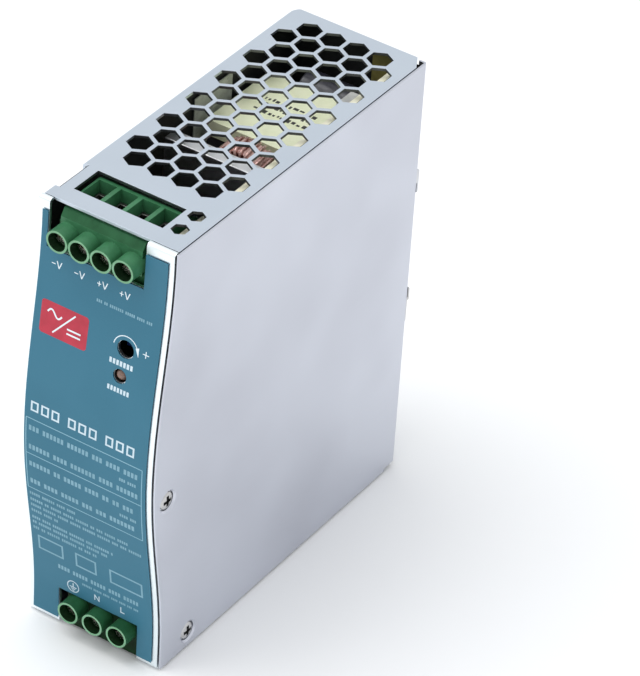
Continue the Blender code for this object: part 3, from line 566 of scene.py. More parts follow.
def make_front(m):
    """The folded front panel and the printed film on it."""
    side = PANEL_HIGH.x
    panel = prism("front_panel_fine", m["panel"], folded_panel(), "X", PANEL_LOW.x, side)
    cut_front(panel)
    tab_y = (front_line(TAB_SCREW_AT[1]) + 0.4, PANEL_HIGH.y)
    combine(panel, add_box(bmesh.new(), (side - SHEET, side), tab_y, TAB_Z), "UNION")
    hole = add_prism(bmesh.new(), circle(TAB_SCREW_AT, TAB_HOLE, 32), "X", side - 2, side + 1)
    combine(panel, hole, "DIFFERENCE")
    # The walls of the two round holes get the dark edge colour: painted shade.
    panel.data.materials.append(m["cut_edge_shade"])
    for polygon in panel.data.polygons:
        centre = polygon.center / MM
        from_hole = min(math.hypot(centre.x - x, centre.z - z) for x, z in (TRIMMER_AT, LED_AT))
        in_wall = from_hole < TRIMMER_HOLE + 0.2 and abs(polygon.normal.y) < 0.5
        polygon.material_index = 1 if in_wall else 0
    soften(panel, 0.16, 3)
    even_front(panel)
    attach(panel, "front_panel")

    outline = strip(LABEL_LOW.z, LABEL_HIGH.z, FILM_SKIN, FILM)
    film = prism("label_film", m["label"], outline, "X", LABEL_LOW.x, LABEL_HIGH.x)
    cut_front(film, FILM)
    even_front(film)
    attach(film, "front_label")


# ---- the print on the label
LETTER_PEN = 0.28
SIGN_PEN = 0.24
RING_PEN = 0.26
TITLE_PEN = 0.5
TABLE_RULE = 0.22
# left and right ends, height, letter height and seed of each line of text
TITLE_WORDS = ((4.2, 12.3, 90.6, 1.4, 19), (4.5, 12.2, 83.4, 1.3, 20))
TEXT_WORDS = (
    (-17.0, 16.0, 61.75, 1.5, 3), (10.0, 16.0, 58.9, 0.9, 4), (-17.0, 15.6, 55.9, 1.5, 5),
    (-17.0, 16.0, 50.5, 1.5, 6), (10.0, 16.0, 47.5, 0.9, 7), (-17.0, 15.6, 44.8, 1.5, 8),
    (-17.6, -3.0, 40.3, 0.9, 9), (-17.6, 13.3, 38.2, 0.9, 10), (-17.6, 16.0, 36.3, 0.9, 11),
    (-17.6, -9.3, 34.4, 0.9, 12), (-17.6, 7.4, 32.0, 0.9, 13), (-17.6, 5.8, 30.3, 0.9, 14),
    (-17.6, 2.0, 28.4, 0.9, 15), (-10.7, 15.5, 18.4, 1.3, 16), (-3.4, 13.7, 16.1, 0.7, 17),
    (-1.3, 15.8, 104.3, 0.8, 18),
)


class Print:
    """Flat shapes of ink laid on the curved film."""

    def __init__(self, name, material, skin=INK_SKIN):
        self.name = name
        self.material = material
        self.skin = skin
        self.bm = bmesh.new()

    def vertex(self, x, z):
        return self.bm.verts.new(Vector((x, front_line(z) - self.skin, z)) * MM)

    def patch(self, corners):
        """A face of ink, turned to the front."""
        face = self.bm.faces.new(corners)
        face.normal_update()
        if face.normal.y > 0:
            face.normal_flip()

    def band(self, left, right):
        """Ink between two lines of points."""
        rows = [(self.vertex(*a), self.vertex(*b)) for a, b in zip(left, right)]
        for (a, b), (c, d) in zip(rows, rows[1:]):
            self.patch((a, b, d, c))

    def bar(self, x0, x1, z0, z1):
        """An upright rectangle, in steps short enough to follow the curve."""
        steps = max(1, int(abs(z1 - z0) / 1.5))
        heights = [z0 + (z1 - z0) * i / steps for i in range(steps + 1)]
        self.band([(x0, z) for z in heights], [(x1, z) for z in heights])

    def hollow(self, x0, x1, z0, z1, pen):
        """A hollow rectangle with a pen's width of ink inside its edges."""
        self.bar(x0, x1, z0, z0 + pen)
        self.bar(x0, x1, z1 - pen, z1)
        self.bar(x0, x0 + pen, z0 + pen, z1 - pen)
        self.bar(x1 - pen, x1, z0 + pen, z1 - pen)

    def sign(self, x, z, reach, rise=0.0):
        """A minus, or a plus where it has a rise."""
        half = SIGN_PEN / 2
        self.bar(x - reach, x + reach, z - half, z + half)
        if rise:
            self.bar(x - half, x + half, z - rise, z - half)
            self.bar(x - half, x + half, z + half, z + rise)

    def line(self, points, width):
        """A pen stroke with mitred joints."""
        left = []
        right = []
        for i, point in enumerate(points):
            before = Vector(points[max(i - 1, 0)])
            after = Vector(points[min(i + 1, len(points) - 1)])
            along = (after - before).normalized()
            side = Vector((-along.y, along.x)) * width / 2
            left.append(tuple(Vector(point) + side))
            right.append(tuple(Vector(point) - side))
        self.band(left, right)

    def arc(self, centre, radius, start, end, width, steps=28):
        """A pen stroke round part of a circle, between two angles in degrees."""
        points = []
        for i in range(steps + 1):
            angle = math.radians(start + (end - start) * i / steps)
            points.append((centre[0] + radius * math.cos(angle), centre[1] + radius * math.sin(angle)))
        self.line(points, width)

    def words(self, x0, x1, z, height, seed):
        """A line of text stood in for by rows of small blocks."""
        dice = random.Random(seed)
        x = x0
        while x < x1 - height:
            for _ in range(dice.randint(2, 7)):
                if x > x1 - height * 0.6:
                    break
                self.bar(x, x + height * 0.5, z - height / 2, z + height / 2)
                x += height * 0.72
            x += height * 0.6

    def done(self):
        """Turn the ink into a piece of the label."""
        attach(make_object(self.name, self.bm, [self.material]))


def print_marks(m):
    """The terminals' signs, and the trimmer's arrow and plus."""
    ink = Print("label_marks", m["ink"])
    for x, rise in ((-13.3, 0.0), (-6.7, 0.0), (0.0, 0.67), (6.5, 0.67)):
        ink.sign(x - 1.05, 108.74, 0.55, rise)
        ink.line([(x - 0.1, 109.7), (x + 0.6, 107.85)], LETTER_PEN)
        ink.line([(x + 1.3, 109.7), (x + 0.6, 107.85)], LETTER_PEN)

    x, z = TRIMMER_AT
    ink.arc((x, z), 3.5, 172, 22, RING_PEN)
    arrow_head = ((x + 3.75, z - 0.7), (x + 2.75, z + 1.5), (x + 3.75, z + 1.9))
    ink.patch([ink.vertex(*corner) for corner in arrow_head])
    ink.sign(14.1, 95.74, 0.9, 0.9)
    ink.done()

    ink = Print("label_input_marks", m["title_ink"])
    half = RING_PEN / 2
    ink.arc((-6.3, 13.7), 1.7, 0, 360, RING_PEN, 40)
    ink.bar(-6.3 - half, -6.3 + half, 13.6, 14.8)
    for reach, height in ((1.05, 13.5), (0.68, 13.0), (0.32, 12.5)):
        ink.bar(-6.3 - reach, -6.3 + reach, height - half, height + half)
    ink.line([(0.35, 12.8), (0.35, 14.6)], LETTER_PEN)
    ink.line([(1.65, 12.8), (1.65, 14.6)], LETTER_PEN)
    ink.line([(0.35, 14.5), (1.65, 12.9)], LETTER_PEN)
    ink.line([(8.3, 14.6), (8.3, 12.8)], LETTER_PEN)
    ink.bar(8.13, 9.4, 12.8, 13.12)
    ink.done()


def print_rating_table(m):
    """The rating table's thin frame and the rule across its middle."""
    ink = Print("label_table", m["table_ink"])
    half = TABLE_RULE / 2
    left, right, foot, middle, head = -17.9, 16.6, 42.2, 53.6, 64.5
    for z in (foot, middle, head):
        ink.bar(left, right, z - half, z + half)
    for x in (left, right):
        ink.bar(x - half, x + half, foot, head)
    ink.done()


def print_text(m):
    """Blocks and hollow boxes that stand for the title, the lines of text and the approval marks."""
    title = Print("label_title", m["title_ink"])
    for group in (-16.7, -5.6, 5.5):
        for i in range(3):
            left = group + i * 3.1
            title.hollow(left, left + 2.3, 66.9, 69.8, TITLE_PEN)
    for row in TITLE_WORDS:
        title.words(*row)
    title.done()

    text = Print("label_text", m["faint_ink"])
    for row in TEXT_WORDS:
        text.words(*row)
    for left, right in ((-16.5, -8.8), (-5.1, 1.3), (5.3, 15.3)):
        text.hollow(left, right, 21.5, 26.1, TITLE_PEN)
    text.done()


def print_badge(m):
    """A plain red badge with the general sign for a converter from alternating to direct current."""
    red = Print("label_badge", m["red_ink"])
    left, right, foot, head, corner = -16.5, -2.7, 89.5, 98.5, 0.9
    steps, rows_between = 8, 12
    lower = []
    for i in range(steps + 1):
        angle = math.pi / 2 * i / steps
        lower.append((corner * (1 - math.sin(angle)), foot + corner * (1 - math.cos(angle))))
    upper = [(inset, foot + head - z) for inset, z in reversed(lower)]
    straight = head - foot - 2 * corner
    rows = [(0.0, foot + corner + straight * i / rows_between) for i in range(1, rows_between)]
    edge = lower + rows + upper
    red.band([(left + inset, z) for inset, z in edge], [(right - inset, z) for inset, z in edge])
    red.done()

    ink = Print("label_badge_sign", m["ink"], INK_SKIN + 0.004)
    ink.line([(-12.6, 90.6), (-6.6, 97.4)], 0.4)
    shares = [i / 20 for i in range(21)]
    wave = [(-14.6 + 4.2 * share, 95.6 + 0.95 * math.sin(2 * math.pi * share)) for share in shares]
    ink.line(wave, 0.45)
    ink.bar(-8.6, -4.6, 92.9, 93.35)
    ink.bar(-8.6, -4.6, 91.7, 92.15)
    ink.done()


# ---- the case
VENT_FIELD_X = (-17.0, 16.5)
VENT_FIELD_Y = (-46.0, 52.0)
# Where the black film that paints the shade inside the case reaches.
SHADE_LINING_FRONT_Y = -47.5
SHADE_LINING_Z = (1.2, HEIGHT - 1.1)
RIVET_Z = (40.0, 13.4)
RIVET_CLEARANCE = 2.6
SPRING_WINDOW = ((-3.4, 3.4), (19.0, 36.4))


def vent_walls(centre, normal):
    """Pick the cut walls of the openings in the top, which get the dark edge colour as painted shade."""
    in_field = (VENT_FIELD_X[0] < centre.x < VENT_FIELD_X[1]
                and VENT_FIELD_Y[0] < centre.y < VENT_FIELD_Y[1])
    return 1 if in_field and centre.z > HEIGHT - SHEET and abs(normal.z) < 0.3 else 0


def make_case(m):
    """The folded case, its cover, the rail clip and what is fixed to the walls."""
    refined("chassis", [m["case"], m["cut_edge_shade"]], 0.13, 2, vent_walls)
    refined("side_cover", [m["cover"]], 0.15, 3)
    refined("rail_hook", [m["hook"]], 0.15)
    refined("rail_latch", [m["steel"]], 0.12)
    for number in (1, 2):
        refined(f"latch_rivet_{number}", [m["steel"]], 0.1)
        make_cover_screw(number, m)
    for number in (1, 2, 3):
        refined(f"board_spacer_{number}", [m["brass"]], 0.2)
    make_latch_spring(m)
    make_shade_lining(m)


def make_shade_lining(m):
    """Black film inside the left and rear walls and rear right corner, put there to paint the shade inside
    the case, and a paper pad.
    """
    left, rear = CASE_LOW.x + SHEET + 0.02, CASE_HIGH.y - SHEET - 0.02
    right = 16.0
    outline = [(left, SHADE_LINING_FRONT_Y), (left + FILM, SHADE_LINING_FRONT_Y), (left + FILM, rear - FILM),
               (right, rear - FILM), (right, rear), (left, rear)]
    shade_lining = prism("case_shade_lining", m["shade_lining"], outline, "Z", *SHADE_LINING_Z)
    tool = bmesh.new()
    through = (rear - 1, rear + 1)
    for z in RIVET_Z:
        add_prism(tool, circle((0, z), RIVET_CLEARANCE, 32), "Y", *through)
    add_box(tool, SPRING_WINDOW[0], through, SPRING_WINDOW[1])
    combine(shade_lining, tool, "DIFFERENCE")
    attach(shade_lining)

    pad_y = (rear - FILM - 0.25, rear - FILM)
    pad = box("rear_pad", m["olive"], (4.2, 12.0), pad_y, (108.0, 123.5))
    soften(pad, 0.08, 2)
    attach(pad)

    lip = COVER_HIGH.y - 0.85
    outline = [(15.8, rear), (15.8, rear - FILM), (17.0, lip), (18.9, lip), (18.9, lip + FILM),
               (17.06, lip + FILM), (15.95, rear)]
    attach(prism("corner_shade_lining", m["shade_lining"], outline, "Z", *SHADE_LINING_Z))


def make_cover_screw(number, m):
    """Low domed head in its countersink, with a wide tapered cross recess."""
    node = f"cover_screw_{number}"
    low, high = span(node)
    y, z = middle(node, "yz")
    face = high.x
    profile = [(0, face), (0.9, face - 0.03), (1.6, face - 0.12), (2.1, face - 0.28), (2.4, face - 0.50),
               (2.45, face - 0.6), (2.2, face - 0.9), (1.5, face - 0.95), (1.5, low.x + 0.3), (1.2, low.x),
               (0, low.x)]
    screw = turned(node + "_fine", [m["steel"], m["recess"]], profile, "X", (y, z), 48)
    wide, narrow, deep, thick = 1.8, 0.72, 1.3, 0.48
    outline = [(-wide, face + 0.2), (wide, face + 0.2), (narrow, face - deep), (-narrow, face - deep)]
    for axis, along, middle_across in (("Y", y, z), ("Z", z, y)):
        arm = [(x, middle_across + across) for across, x in outline]
        tool = add_prism(bmesh.new(), arm, axis, along - thick, along + thick)
        combine(screw, tool, "DIFFERENCE")
    # The cross recess's walls get the dark recess steel: painted shade.
    for polygon in screw.data.polygons:
        centre = polygon.center / MM
        inside = math.hypot(centre.y - y, centre.z - z) < 1.9 and abs(polygon.normal.x) < 0.8
        polygon.material_index = 1 if inside and centre.x > face - deep - 0.1 else 0
    sharpen(screw.data, 35)
    attach(screw, node)


def tube(name, points, radius, material):
    """A round wire through points, with capped ends, as a mesh."""
    curve = bpy.data.curves.new(name, "CURVE")
    curve.dimensions = "3D"
    curve.bevel_depth = radius * MM
    curve.bevel_resolution = 3
    curve.use_fill_caps = True
    spline = curve.splines.new("POLY")
    spline.points.add(len(points) - 1)
    for target, point in zip(spline.points, points):
        target.co = (point[0] * MM, point[1] * MM, point[2] * MM, 1.0)
    holder = linked(name, curve)
    bpy.context.view_layer.update()
    mesh = bpy.data.meshes.new_from_object(holder)
    bpy.data.objects.remove(holder, do_unlink=True)
    mesh.materials.clear()
    mesh.materials.append(material)
    mesh.shade_smooth()
    return linked(name, mesh)


def make_latch_spring(m):
    """The return spring, with closed ends; the real one shortens as the latch is drawn down, but this is one
    fixed mesh.
    """
    low, high = span("latch_spring")
    wire = 0.3
    centre = (low + high) / 2
    radius = (high.x - low.x) / 2 - wire
    turns, steps, closed = 7.5, 28, 0.14
    points = []
    for i in range(int(turns * steps) + 1):
        share = i / (turns * steps)
        eased = max(0.0, min(1.0, (share - closed / 2) / (1 - closed)))
        angle = 2 * math.pi * turns * share
        points.append((centre.x + radius * math.cos(angle), centre.y + radius * math.sin(angle),
                       low.z + wire + (high.z - low.z - 2 * wire) * eased))
    spring = tube("latch_spring_fine", points, wire, m["steel"])
    attach(spring, "latch_spring")
    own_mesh(spring)


# ---- the terminals
HEAD_HEIGHT = 2.2
BLOCK_FRONT_Y = -49.75
SHOULDER_RUN = 4.45
SLAB_Y = (-50.6, -44.9)
SLAB_BEVEL = 1.3
SLAB_INSET = 0.9
# depths below the case's top for the output block, and above its bottom for the input block
BLOCK_DEPTHS = (1.8, 15.7)
SHOULDER_DEPTH = 5.6
SLAB_DEPTHS = (3.7, 10.65)
WELL_DEPTHS = (-1, 13.6)
TAIL_DEPTHS = (12.2, 13.6)
BARREL_RADIUS = 3.05
BARREL_SIDES = 56
BORE_RADIUS = 2.5
SHANK_RADIUS = 1.8
SHANK_END_Y = -43.0
WEB_HALF = 0.75
WELL_Y = (-44.0, -35.1)
WELL_HALF = 2.575
TAIL_HALF = 1.75
# Reach of the painted highlight along the rims, and where painted shade starts in the bores and past the
# barrels.
RIM_LENGTH = 0.22
IN_BORE = 2.55
PAST_BARREL = 3.2
THREAD_PITCH = 0.5


def level(side, depth):
    """The height at a depth from the end of the case where that side's block is."""
    return HEIGHT - depth if side == "output" else depth


def block_body(side, centres, m):
    """Shouldered body with its front slab and screw barrels, joined by a web on the output side."""
    low, high = span(f"{side}_terminal_body")
    is_output = side == "output"
    # The input block is all in the darker green: painted shade.
    shade = m["green"] if is_output else m["green_painted_shade"]
    top, bottom = (level(side, depth) for depth in BLOCK_DEPTHS)
    outline = [(BLOCK_FRONT_Y, bottom), (BLOCK_FRONT_Y, level(side, SHOULDER_DEPTH)),
               (BLOCK_FRONT_Y + SHOULDER_RUN, top), (high.y, top), (high.y, bottom)]
    body = prism(f"{side}_block_fine", shade, outline, "X", low.x, high.x)
    for key in ("green_rim_highlight", "green_bore_shade", "green_painted_shade"):
        body.data.materials.append(m[key])

    front, back = SLAB_Y
    slab_top, slab_bottom = (level(side, depth) for depth in SLAB_DEPTHS)
    outline = [(back, slab_bottom), (front, slab_bottom)]
    if is_output:
        outline += [(front, slab_top), (front + SLAB_BEVEL, top), (back, top)]
    else:
        outline += [(front, low.z), (back, low.z)]
    inset = SLAB_INSET if is_output else 0.0
    combine(body, add_prism(bmesh.new(), outline, "X", low.x + inset, high.x - inset), "UNION")

    profile = [(BARREL_RADIUS, low.y + 0.02), (BARREL_RADIUS + 0.05, BLOCK_FRONT_Y + 1)]
    for centre in centres:
        combine(body, add_turned(bmesh.new(), profile, "Y", centre, BARREL_SIDES), "UNION")
    if is_output:
        (left, z), (right, _) = centres[0], centres[-1]
        web = add_box(bmesh.new(), (left, right), (low.y + 0.35, BLOCK_FRONT_Y + 0.5),
                      (z - WEB_HALF, z + WEB_HALF))
        combine(body, web, "UNION")
    return body


def cut_poles(body, side, centres):
    """Each pole's stepped bore, its wire well and the slot for its contact's tail."""
    low, high = span(f"{side}_terminal_body")
    bore_end = span(f"{side}_screw_1")[0].y + HEAD_HEIGHT + 0.3
    profile = [(BORE_RADIUS, low.y - 1), (BORE_RADIUS, bore_end), (SHANK_RADIUS, bore_end),
               (SHANK_RADIUS, SHANK_END_Y)]
    tool = bmesh.new()
    for centre in centres:
        add_turned(tool, profile, "Y", centre, BARREL_SIDES)
    combine(body, tool, "DIFFERENCE")
    tail_y = (WELL_Y[1] - 0.5, high.y + 1)
    for half, y, depths in ((WELL_HALF, WELL_Y, WELL_DEPTHS), (TAIL_HALF, tail_y, TAIL_DEPTHS)):
        tool = bmesh.new()
        for x, _ in centres:
            add_box(tool, (x - half, x + half), y, sorted(level(side, depth) for depth in depths))
        combine(body, tool, "DIFFERENCE")


def shade_block(body, side, centres):
    """Painted highlight on the barrels' rims, painted shade in the bores and on the input slab, and a darker
    painted shade on the slope under the barrels.
    """
    front = span(f"{side}_terminal_body")[0].y
    for polygon in body.data.polygons:
        centre = polygon.center / MM
        off_axis = min(math.hypot(centre.x - x, centre.z - z) for x, z in centres)
        if centre.y < front + RIM_LENGTH:
            polygon.material_index = 1
        elif off_axis < IN_BORE and centre.y < -45.0:
            polygon.material_index = 2
        elif side == "input" and centre.y < -45.5 and off_axis > PAST_BARREL:
            polygon.material_index = 2
        elif -50.5 < centre.y < -46.0 and off_axis > PAST_BARREL:
            polygon.material_index = 3


def make_terminal_block(side, m):
    """A block moulded in one, with each pole's screw, clamp cage and contact bar."""
    screws = sorted(n for n in frame["nodes"] if n.startswith(f"{side}_screw_"))
    centres = [middle(name, "xz") for name in screws]
    body = block_body(side, centres, m)
    cut_poles(body, side, centres)
    soften(body, 0.14, 3, 30)
    shade_block(body, side, centres)
    attach(body, f"{side}_terminal_body")
    for number, name in enumerate(screws, start=1):
        make_terminal_screw(name, m)
        # The clamps take the darkened steel: painted shade in the wells.
        refined(f"{side}_clamp_{number}", [m["clamp"]], 0.1)
        refined(f"{side}_contact_{number}", [m["tin"]], 0.1)


def make_terminal_screw(name, m):
    """A slotted cheese head with a chamfered rim, and a threaded shank."""
    low, high = span(name)
    x, z = middle(name, "xz")
    radius = (high.x - low.x) / 2
    front = low.y
    head_back = front + HEAD_HEIGHT
    profile = [(0, front), (radius - 0.45, front), (radius - 0.12, front + 0.1), (radius, front + 0.35),
               (radius, head_back - 0.1), (radius - 0.1, head_back)]
    y = head_back
    while y + THREAD_PITCH < high.y - 0.3:
        profile += [(1.28, y + 0.1), (1.5, y + THREAD_PITCH / 2)]
        y += THREAD_PITCH
    profile += [(1.2, high.y - 0.1), (0.9, high.y), (0, high.y)]
    # The terminal screw takes the lightened steel: painted glints in the bores.
    screw = turned(name + "_fine", [m["screw"]], profile, "Y", (x, z), 40)
    cut_box(screw, (x - 3, x + 3), (front - 1, front + 1.0), (z - 0.36, z + 0.36))
    sharpen(screw.data, 30)
    attach(screw, name)


# ---- inside
def board_sides(_, normal):
    """Mask on the main board's broad faces, laminate on its edges."""
    return 0 if abs(normal.x) > 0.9 else 1


def make_boards(m):
    """The main board, the small board behind each terminal block, and the insulation sheet."""
    refined("main_board", [m["mask"], m["laminate"]], 0.05, 1, board_sides)
    for node in ("output_board", "input_board"):
        refined(node, [m["dark_mask"]], 0.05, 1)
    refined("insulation_sheet", [m["sheet"]], 0)


def taped(name, m, low, high, x, y, z, top, width, segments):
    """A sleeve of tape round a core, hollowed to the core's own box, open or closed at its top."""
    tape = box(name, m["tape"], x, y, z)
    cut_box(tape, (low.x + 0.01, high.x - 0.01), (low.y + 0.01, high.y - 0.01), (low.z, top))
    soften(tape, width, segments)
    attach(tape)


def make_transformer(m):
    """Two ferrite halves held by tape, round a bobbin with a taped winding."""
    low, high = span("transformer_core")
    refined("transformer_core", [m["ferrite"]], 0.4, 3)
    inner_low, inner_high = span("transformer_winding")
    refined("transformer_winding", [m["tape"]], 1.4, 4)
    around_x = (low.x - FILM, high.x + FILM)
    taped("core_tape", m, low, high, around_x, (low.y - FILM, high.y + FILM), (low.z + 7, high.z - 7),
          high.z, 0.1, 2)
    taped("core_top_tape", m, low, high, around_x, (low.y - 0.3, high.y + FILM),
          (high.z - 4.0, high.z + 0.62), high.z + 0.01, 0.25, 3)

    bm = bmesh.new()
    dice = random.Random(31)
    for row in range(3):
        x = -10.0
        while x < 5.0:
            long = dice.uniform(0.4, 1.5)
            y = 28.6 - row * 2.7 + dice.uniform(-0.25, 0.25)
            tall = dice.uniform(0.3, 0.8)
            add_box(bm, (x, x + long), (y - tall, y + tall), (high.z + 0.61, high.z + 0.65))
            x += long + dice.uniform(0.3, 0.7)
    attach(make_object("core_tape_print", bm, [m["tape_ink"]]))

    attach(box("side_film", m["haze"], (-18.7, -18.45), (10.0, 26.0), (88.0, 121.0)))
    flange = box("bobbin_flange", m["bobbin"], (high.x + 0.3, PARTS_X), (30.0, 37.0), (108.0, 121.3))
    soften(flange, 0.4, 3)
    attach(flange)

    bm = bmesh.new()
    for z in (low.z + 3, low.z + 26):
        for i in range(4):
            y = inner_low.y + 2.5 + i * 4.4
            add_box(bm, (inner_high.x + 0.2, PARTS_X), (y - 0.35, y + 0.35), (z - 0.35, z + 0.35))
    attach(make_object("transformer_pins", bm, [m["tin"]]))


def make_can(node, m):
    """A can capacitor: sleeve with a rolled groove, shrunk lip and scored aluminium end."""
    low, high = span(node)
    y, z = middle(node, "yz")
    r = (high.y - low.y) / 2
    end, base = low.x, high.x
    profile = [(r * 0.78, end + 0.25), (r * 0.86, end), (r - 0.35, end + 0.08), (r, end + 0.5),
               (r, base - 3.2), (r - 0.25, base - 2.9), (r - 0.55, base - 2.4), (r - 0.25, base - 1.9),
               (r, base - 1.6), (r, base - 0.3), (r - 0.3, base)]
    can = turned(node + "_fine", [m["sleeve"]], profile, "X", (y, z), 64)
    attach(can, node)
    profile = [(0, end + 0.12), (r * 0.74, end + 0.12), (r * 0.77, end + 0.3), (r * 0.77, end + 0.8),
               (0, end + 0.8)]
    disc = turned(node + "_end", [m["aluminium"]], profile, "X", (y, z), 64)
    long, thin = r * 0.5, 0.12
    for half_y, half_z in ((thin, long), (long, thin)):
        cut_box(disc, (end - 1, end + 0.3), (y - half_y, y + half_y), (z - half_z, z + half_z))
    attach(disc)


WIRE = 0.45
RING_SIDES = 48
STEPS_A_TURN = 20


def make_toroid(node, axis, hole, turns, m, gap_degrees, halves, wound):
    """A ring with its wire wound round it, turn by turn; wound names what the ring under it shows."""
    low, high = span(node)
    k = "XYZ".index(axis)
    across = [i for i in range(3) if i != k]
    centre = (low[k] + high[k]) / 2
    hub = [(low[i] + high[i]) / 2 for i in across]
    outer = (high[across[0]] - low[across[0]]) / 2
    half = (high[k] - low[k]) / 2
    a, b, h = hole + WIRE * 2, outer - WIRE * 2, half - WIRE * 2
    section = ((a, -h + 0.5), (a + 0.5, -h), (b - 0.5, -h), (b, -h + 0.5), (b, h - 0.5), (b - 0.5, h),
               (a + 0.5, h), (a, h - 0.5))
    bm = bmesh.new()
    rings = []
    for radius, along in section:
        points = circle(hub, radius, RING_SIDES)
        rings.append([bm.verts.new(in_space(axis, centre + along, p)) for p in points])
    for first, second in zip(rings, rings[1:] + rings[:1]):
        skin(bm, first, second)
    bmesh.ops.recalc_face_normals(bm, faces=bm.faces)
    attach(make_object(node + "_core", bm, [m[wound]]), node)

    mid_radius = (hole + outer) / 2
    reach_r = (outer - hole) / 2 - WIRE
    reach_h = half - WIRE
    share = 360 / halves
    steps = turns * STEPS_A_TURN
    for part in range(halves):
        start = part * share + gap_degrees / 2
        points = []
        for i in range(steps + 1):
            around = math.radians(start + (share - gap_degrees) * i / steps)
            turn = 2 * math.pi * turns * i / steps
            c, s = math.cos(turn), math.sin(turn)
            squared = max(abs(c), abs(s)) ** 0.72
            radius = mid_radius + reach_r * c / squared
            place = (hub[0] + radius * math.cos(around), hub[1] + radius * math.sin(around))
            points.append(tuple(in_space(axis, centre + reach_h * s / squared, place) / MM))
        attach(tube(f"{node}_winding_{part + 1}", points, WIRE, m["copper"]))


PACKAGE_X = (-3.4, 5.75)
BRIDGE_LEADS_X = 8.05
FUSE_CAPS_Z = (27.05, 36.95)


def outside(low, high, axis):
    """Pick the faces past either of two places on an axis."""
    def pick(centre, _):
        return 0 if low <= getattr(centre, axis) <= high else 1
    return pick


def make_power_parts(m):
    """Heatsinks, semiconductors, fuse, capacitors, chokes, trimmer and status light."""
    for node in ("heatsink_secondary", "heatsink_primary"):
        refined(node, [m["aluminium"]], 0.2, 3)
    for node in ("output_rectifier", "switch_transistor"):
        refined(node, [m["black"], m["tin"]], 0.15, 2, outside(*PACKAGE_X, "x"))
    leads = outside(-math.inf, BRIDGE_LEADS_X, "x")
    refined("bridge_rectifier", [m["black"], m["tin"]], 0.25, 2, leads)
    refined("fuse", [m["ceramic"], m["tin"]], 0.15, 2, outside(*FUSE_CAPS_Z, "z"))
    refined("x_capacitor", [m["film"]], 0.8, 4)
    refined("trimmer_body", [m["blue"]], 0.2, 3)
    make_trimmer_rotor(m)
    make_led(m)
    for node in ("bulk_capacitor_1", "bulk_capacitor_2", "output_capacitor_1", "output_capacitor_2",
                 "output_capacitor_3"):
        make_can(node, m)
    make_toroid("output_choke", "Y", 3.6, 30, m, 16, 1, "copper")
    make_toroid("common_mode_choke", "X", 4.0, 12, m, 36, 2, "ferrite")


def make_trimmer_rotor(m):
    """The cream rotor with the slot that turns it."""
    low, high = span("trimmer_rotor")
    x, z = middle("trimmer_rotor", "xz")
    profile = [(0, low.y), (1.5, low.y), (1.75, low.y + 0.12), (1.9, low.y + 0.4), (1.9, high.y),
               (0, high.y)]
    rotor = turned("trimmer_rotor_fine", [m["cream"]], profile, "Y", (x, z), 48)
    cut_box(rotor, (x - 1.35, x + 1.35), (low.y - 1, low.y + 0.75), (z - 0.28, z + 0.28))
    sharpen(rotor.data, 30)
    attach(rotor, "trimmer_rotor")


def make_led(m):
    """The status light's domed lens."""
    low, high = span("status_led")
    radius, dome, steps = 1.5, 1.1, 8
    rim, base = 1.8, high.y - 1.0
    profile = [(0, low.y)]
    for i in range(1, steps + 1):
        angle = math.pi / 2 * i / steps
        profile.append((radius * math.sin(angle), low.y + dome * (1 - math.cos(angle))))
    profile += [(radius, base), (rim, base), (rim, high.y), (0, high.y)]
    led = turned("status_led_fine", [m["lens"]], profile, "Y", middle("status_led", "xz"), 48, 40)
    attach(led, "status_led")


# ---- stage
FLOOR_SIZE_M = 6.0
FLOOR_Z_M = -0.0007
WORLD_COLOUR = (0.96, 0.98, 1.0, 1.0)
WORLD_STRENGTH = 0.94
CAMERA_AT = (483.72, -735.59, 713.63)
AZIMUTH, ELEVATION, ROLL = 31.771, 36.389, 3.987
LENS, SENSOR = 234.92, 36.0


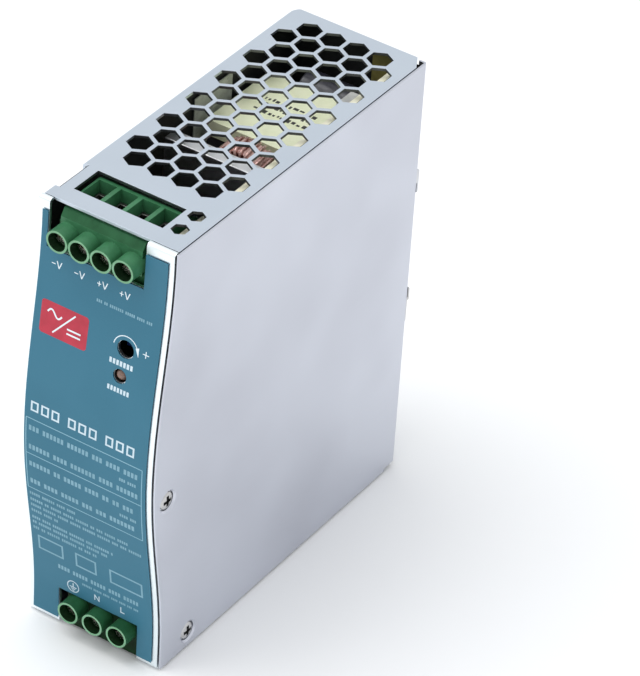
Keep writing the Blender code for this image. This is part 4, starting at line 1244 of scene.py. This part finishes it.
def make_stage():
    """The pale floor, a little below the case."""
    half = FLOOR_SIZE_M / 2
    corners = ((-half, -half), (half, -half), (half, half), (-half, half))
    bm = bmesh.new()
    bm.faces.new([bm.verts.new((x, y, FLOOR_Z_M)) for x, y in corners])
    n = Nodes("pale_floor")
    n.colour(n.mix(n.noise(0.004, 2.0, 0.5), (0.93, 0.932, 0.935), (0.95, 0.951, 0.953)))
    n.set(Roughness=0.75)
    floor = make_object("floor", bm, [n.material])


def make_light(name, place, size, power):
    """A square soft box that faces the middle of the object; place and size are metres."""
    data = bpy.data.lights.new(name, "AREA")
    data.shape = "RECTANGLE"
    data.size = data.size_y = size
    data.energy = power
    holder = linked(name, data)
    holder.location = place
    holder.rotation_mode = "QUATERNION"
    target = Vector((0, 0, HEIGHT / 2 * MM))
    holder.rotation_quaternion = (target - Vector(place)).to_track_quat("-Z", "Y")


def make_lights():
    """A pale surround, a key light from the upper left and a weak fill."""
    world = bpy.data.worlds.new("studio")
    world.use_nodes = True
    background = world.node_tree.nodes["Background"]
    background.inputs["Color"].default_value = WORLD_COLOUR
    background.inputs["Strength"].default_value = WORLD_STRENGTH
    bpy.context.scene.world = world
    make_light("key", (-0.42, -0.28, 1.30), 0.9, 7.0)
    make_light("fill", (-0.9, -0.55, 0.75), 0.6, 1.0)


def make_camera():
    """The viewing angle: from the front right and above, with a long lens, tilted slightly."""
    data = bpy.data.cameras.new("camera")
    data.sensor_width = SENSOR
    data.lens = LENS
    data.clip_start, data.clip_end = 0.05, 20.0
    holder = linked("camera", data)
    turn = Matrix.Rotation(math.radians(AZIMUTH), 4, "Z")
    tilt = Matrix.Rotation(math.radians(90 - ELEVATION), 4, "X")
    lean = Matrix.Rotation(math.radians(ROLL), 4, "Z")
    holder.matrix_world = Matrix.Translation(Vector(CAMERA_AT) * MM) @ turn @ tilt @ lean
    bpy.context.scene.camera = holder


# ---- assembly
def main():
    """Make everything, in the order that the pieces are listed."""
    make_camera()
    make_lights()
    make_stage()
    bpy.context.scene.view_settings.view_transform = "Standard"
    m = make_materials()
    make_case(m)
    make_front(m)
    print_marks(m)
    print_rating_table(m)
    print_text(m)
    print_badge(m)
    make_terminal_block("output", m)
    make_terminal_block("input", m)
    make_boards(m)
    make_transformer(m)
    make_power_parts(m)


main()
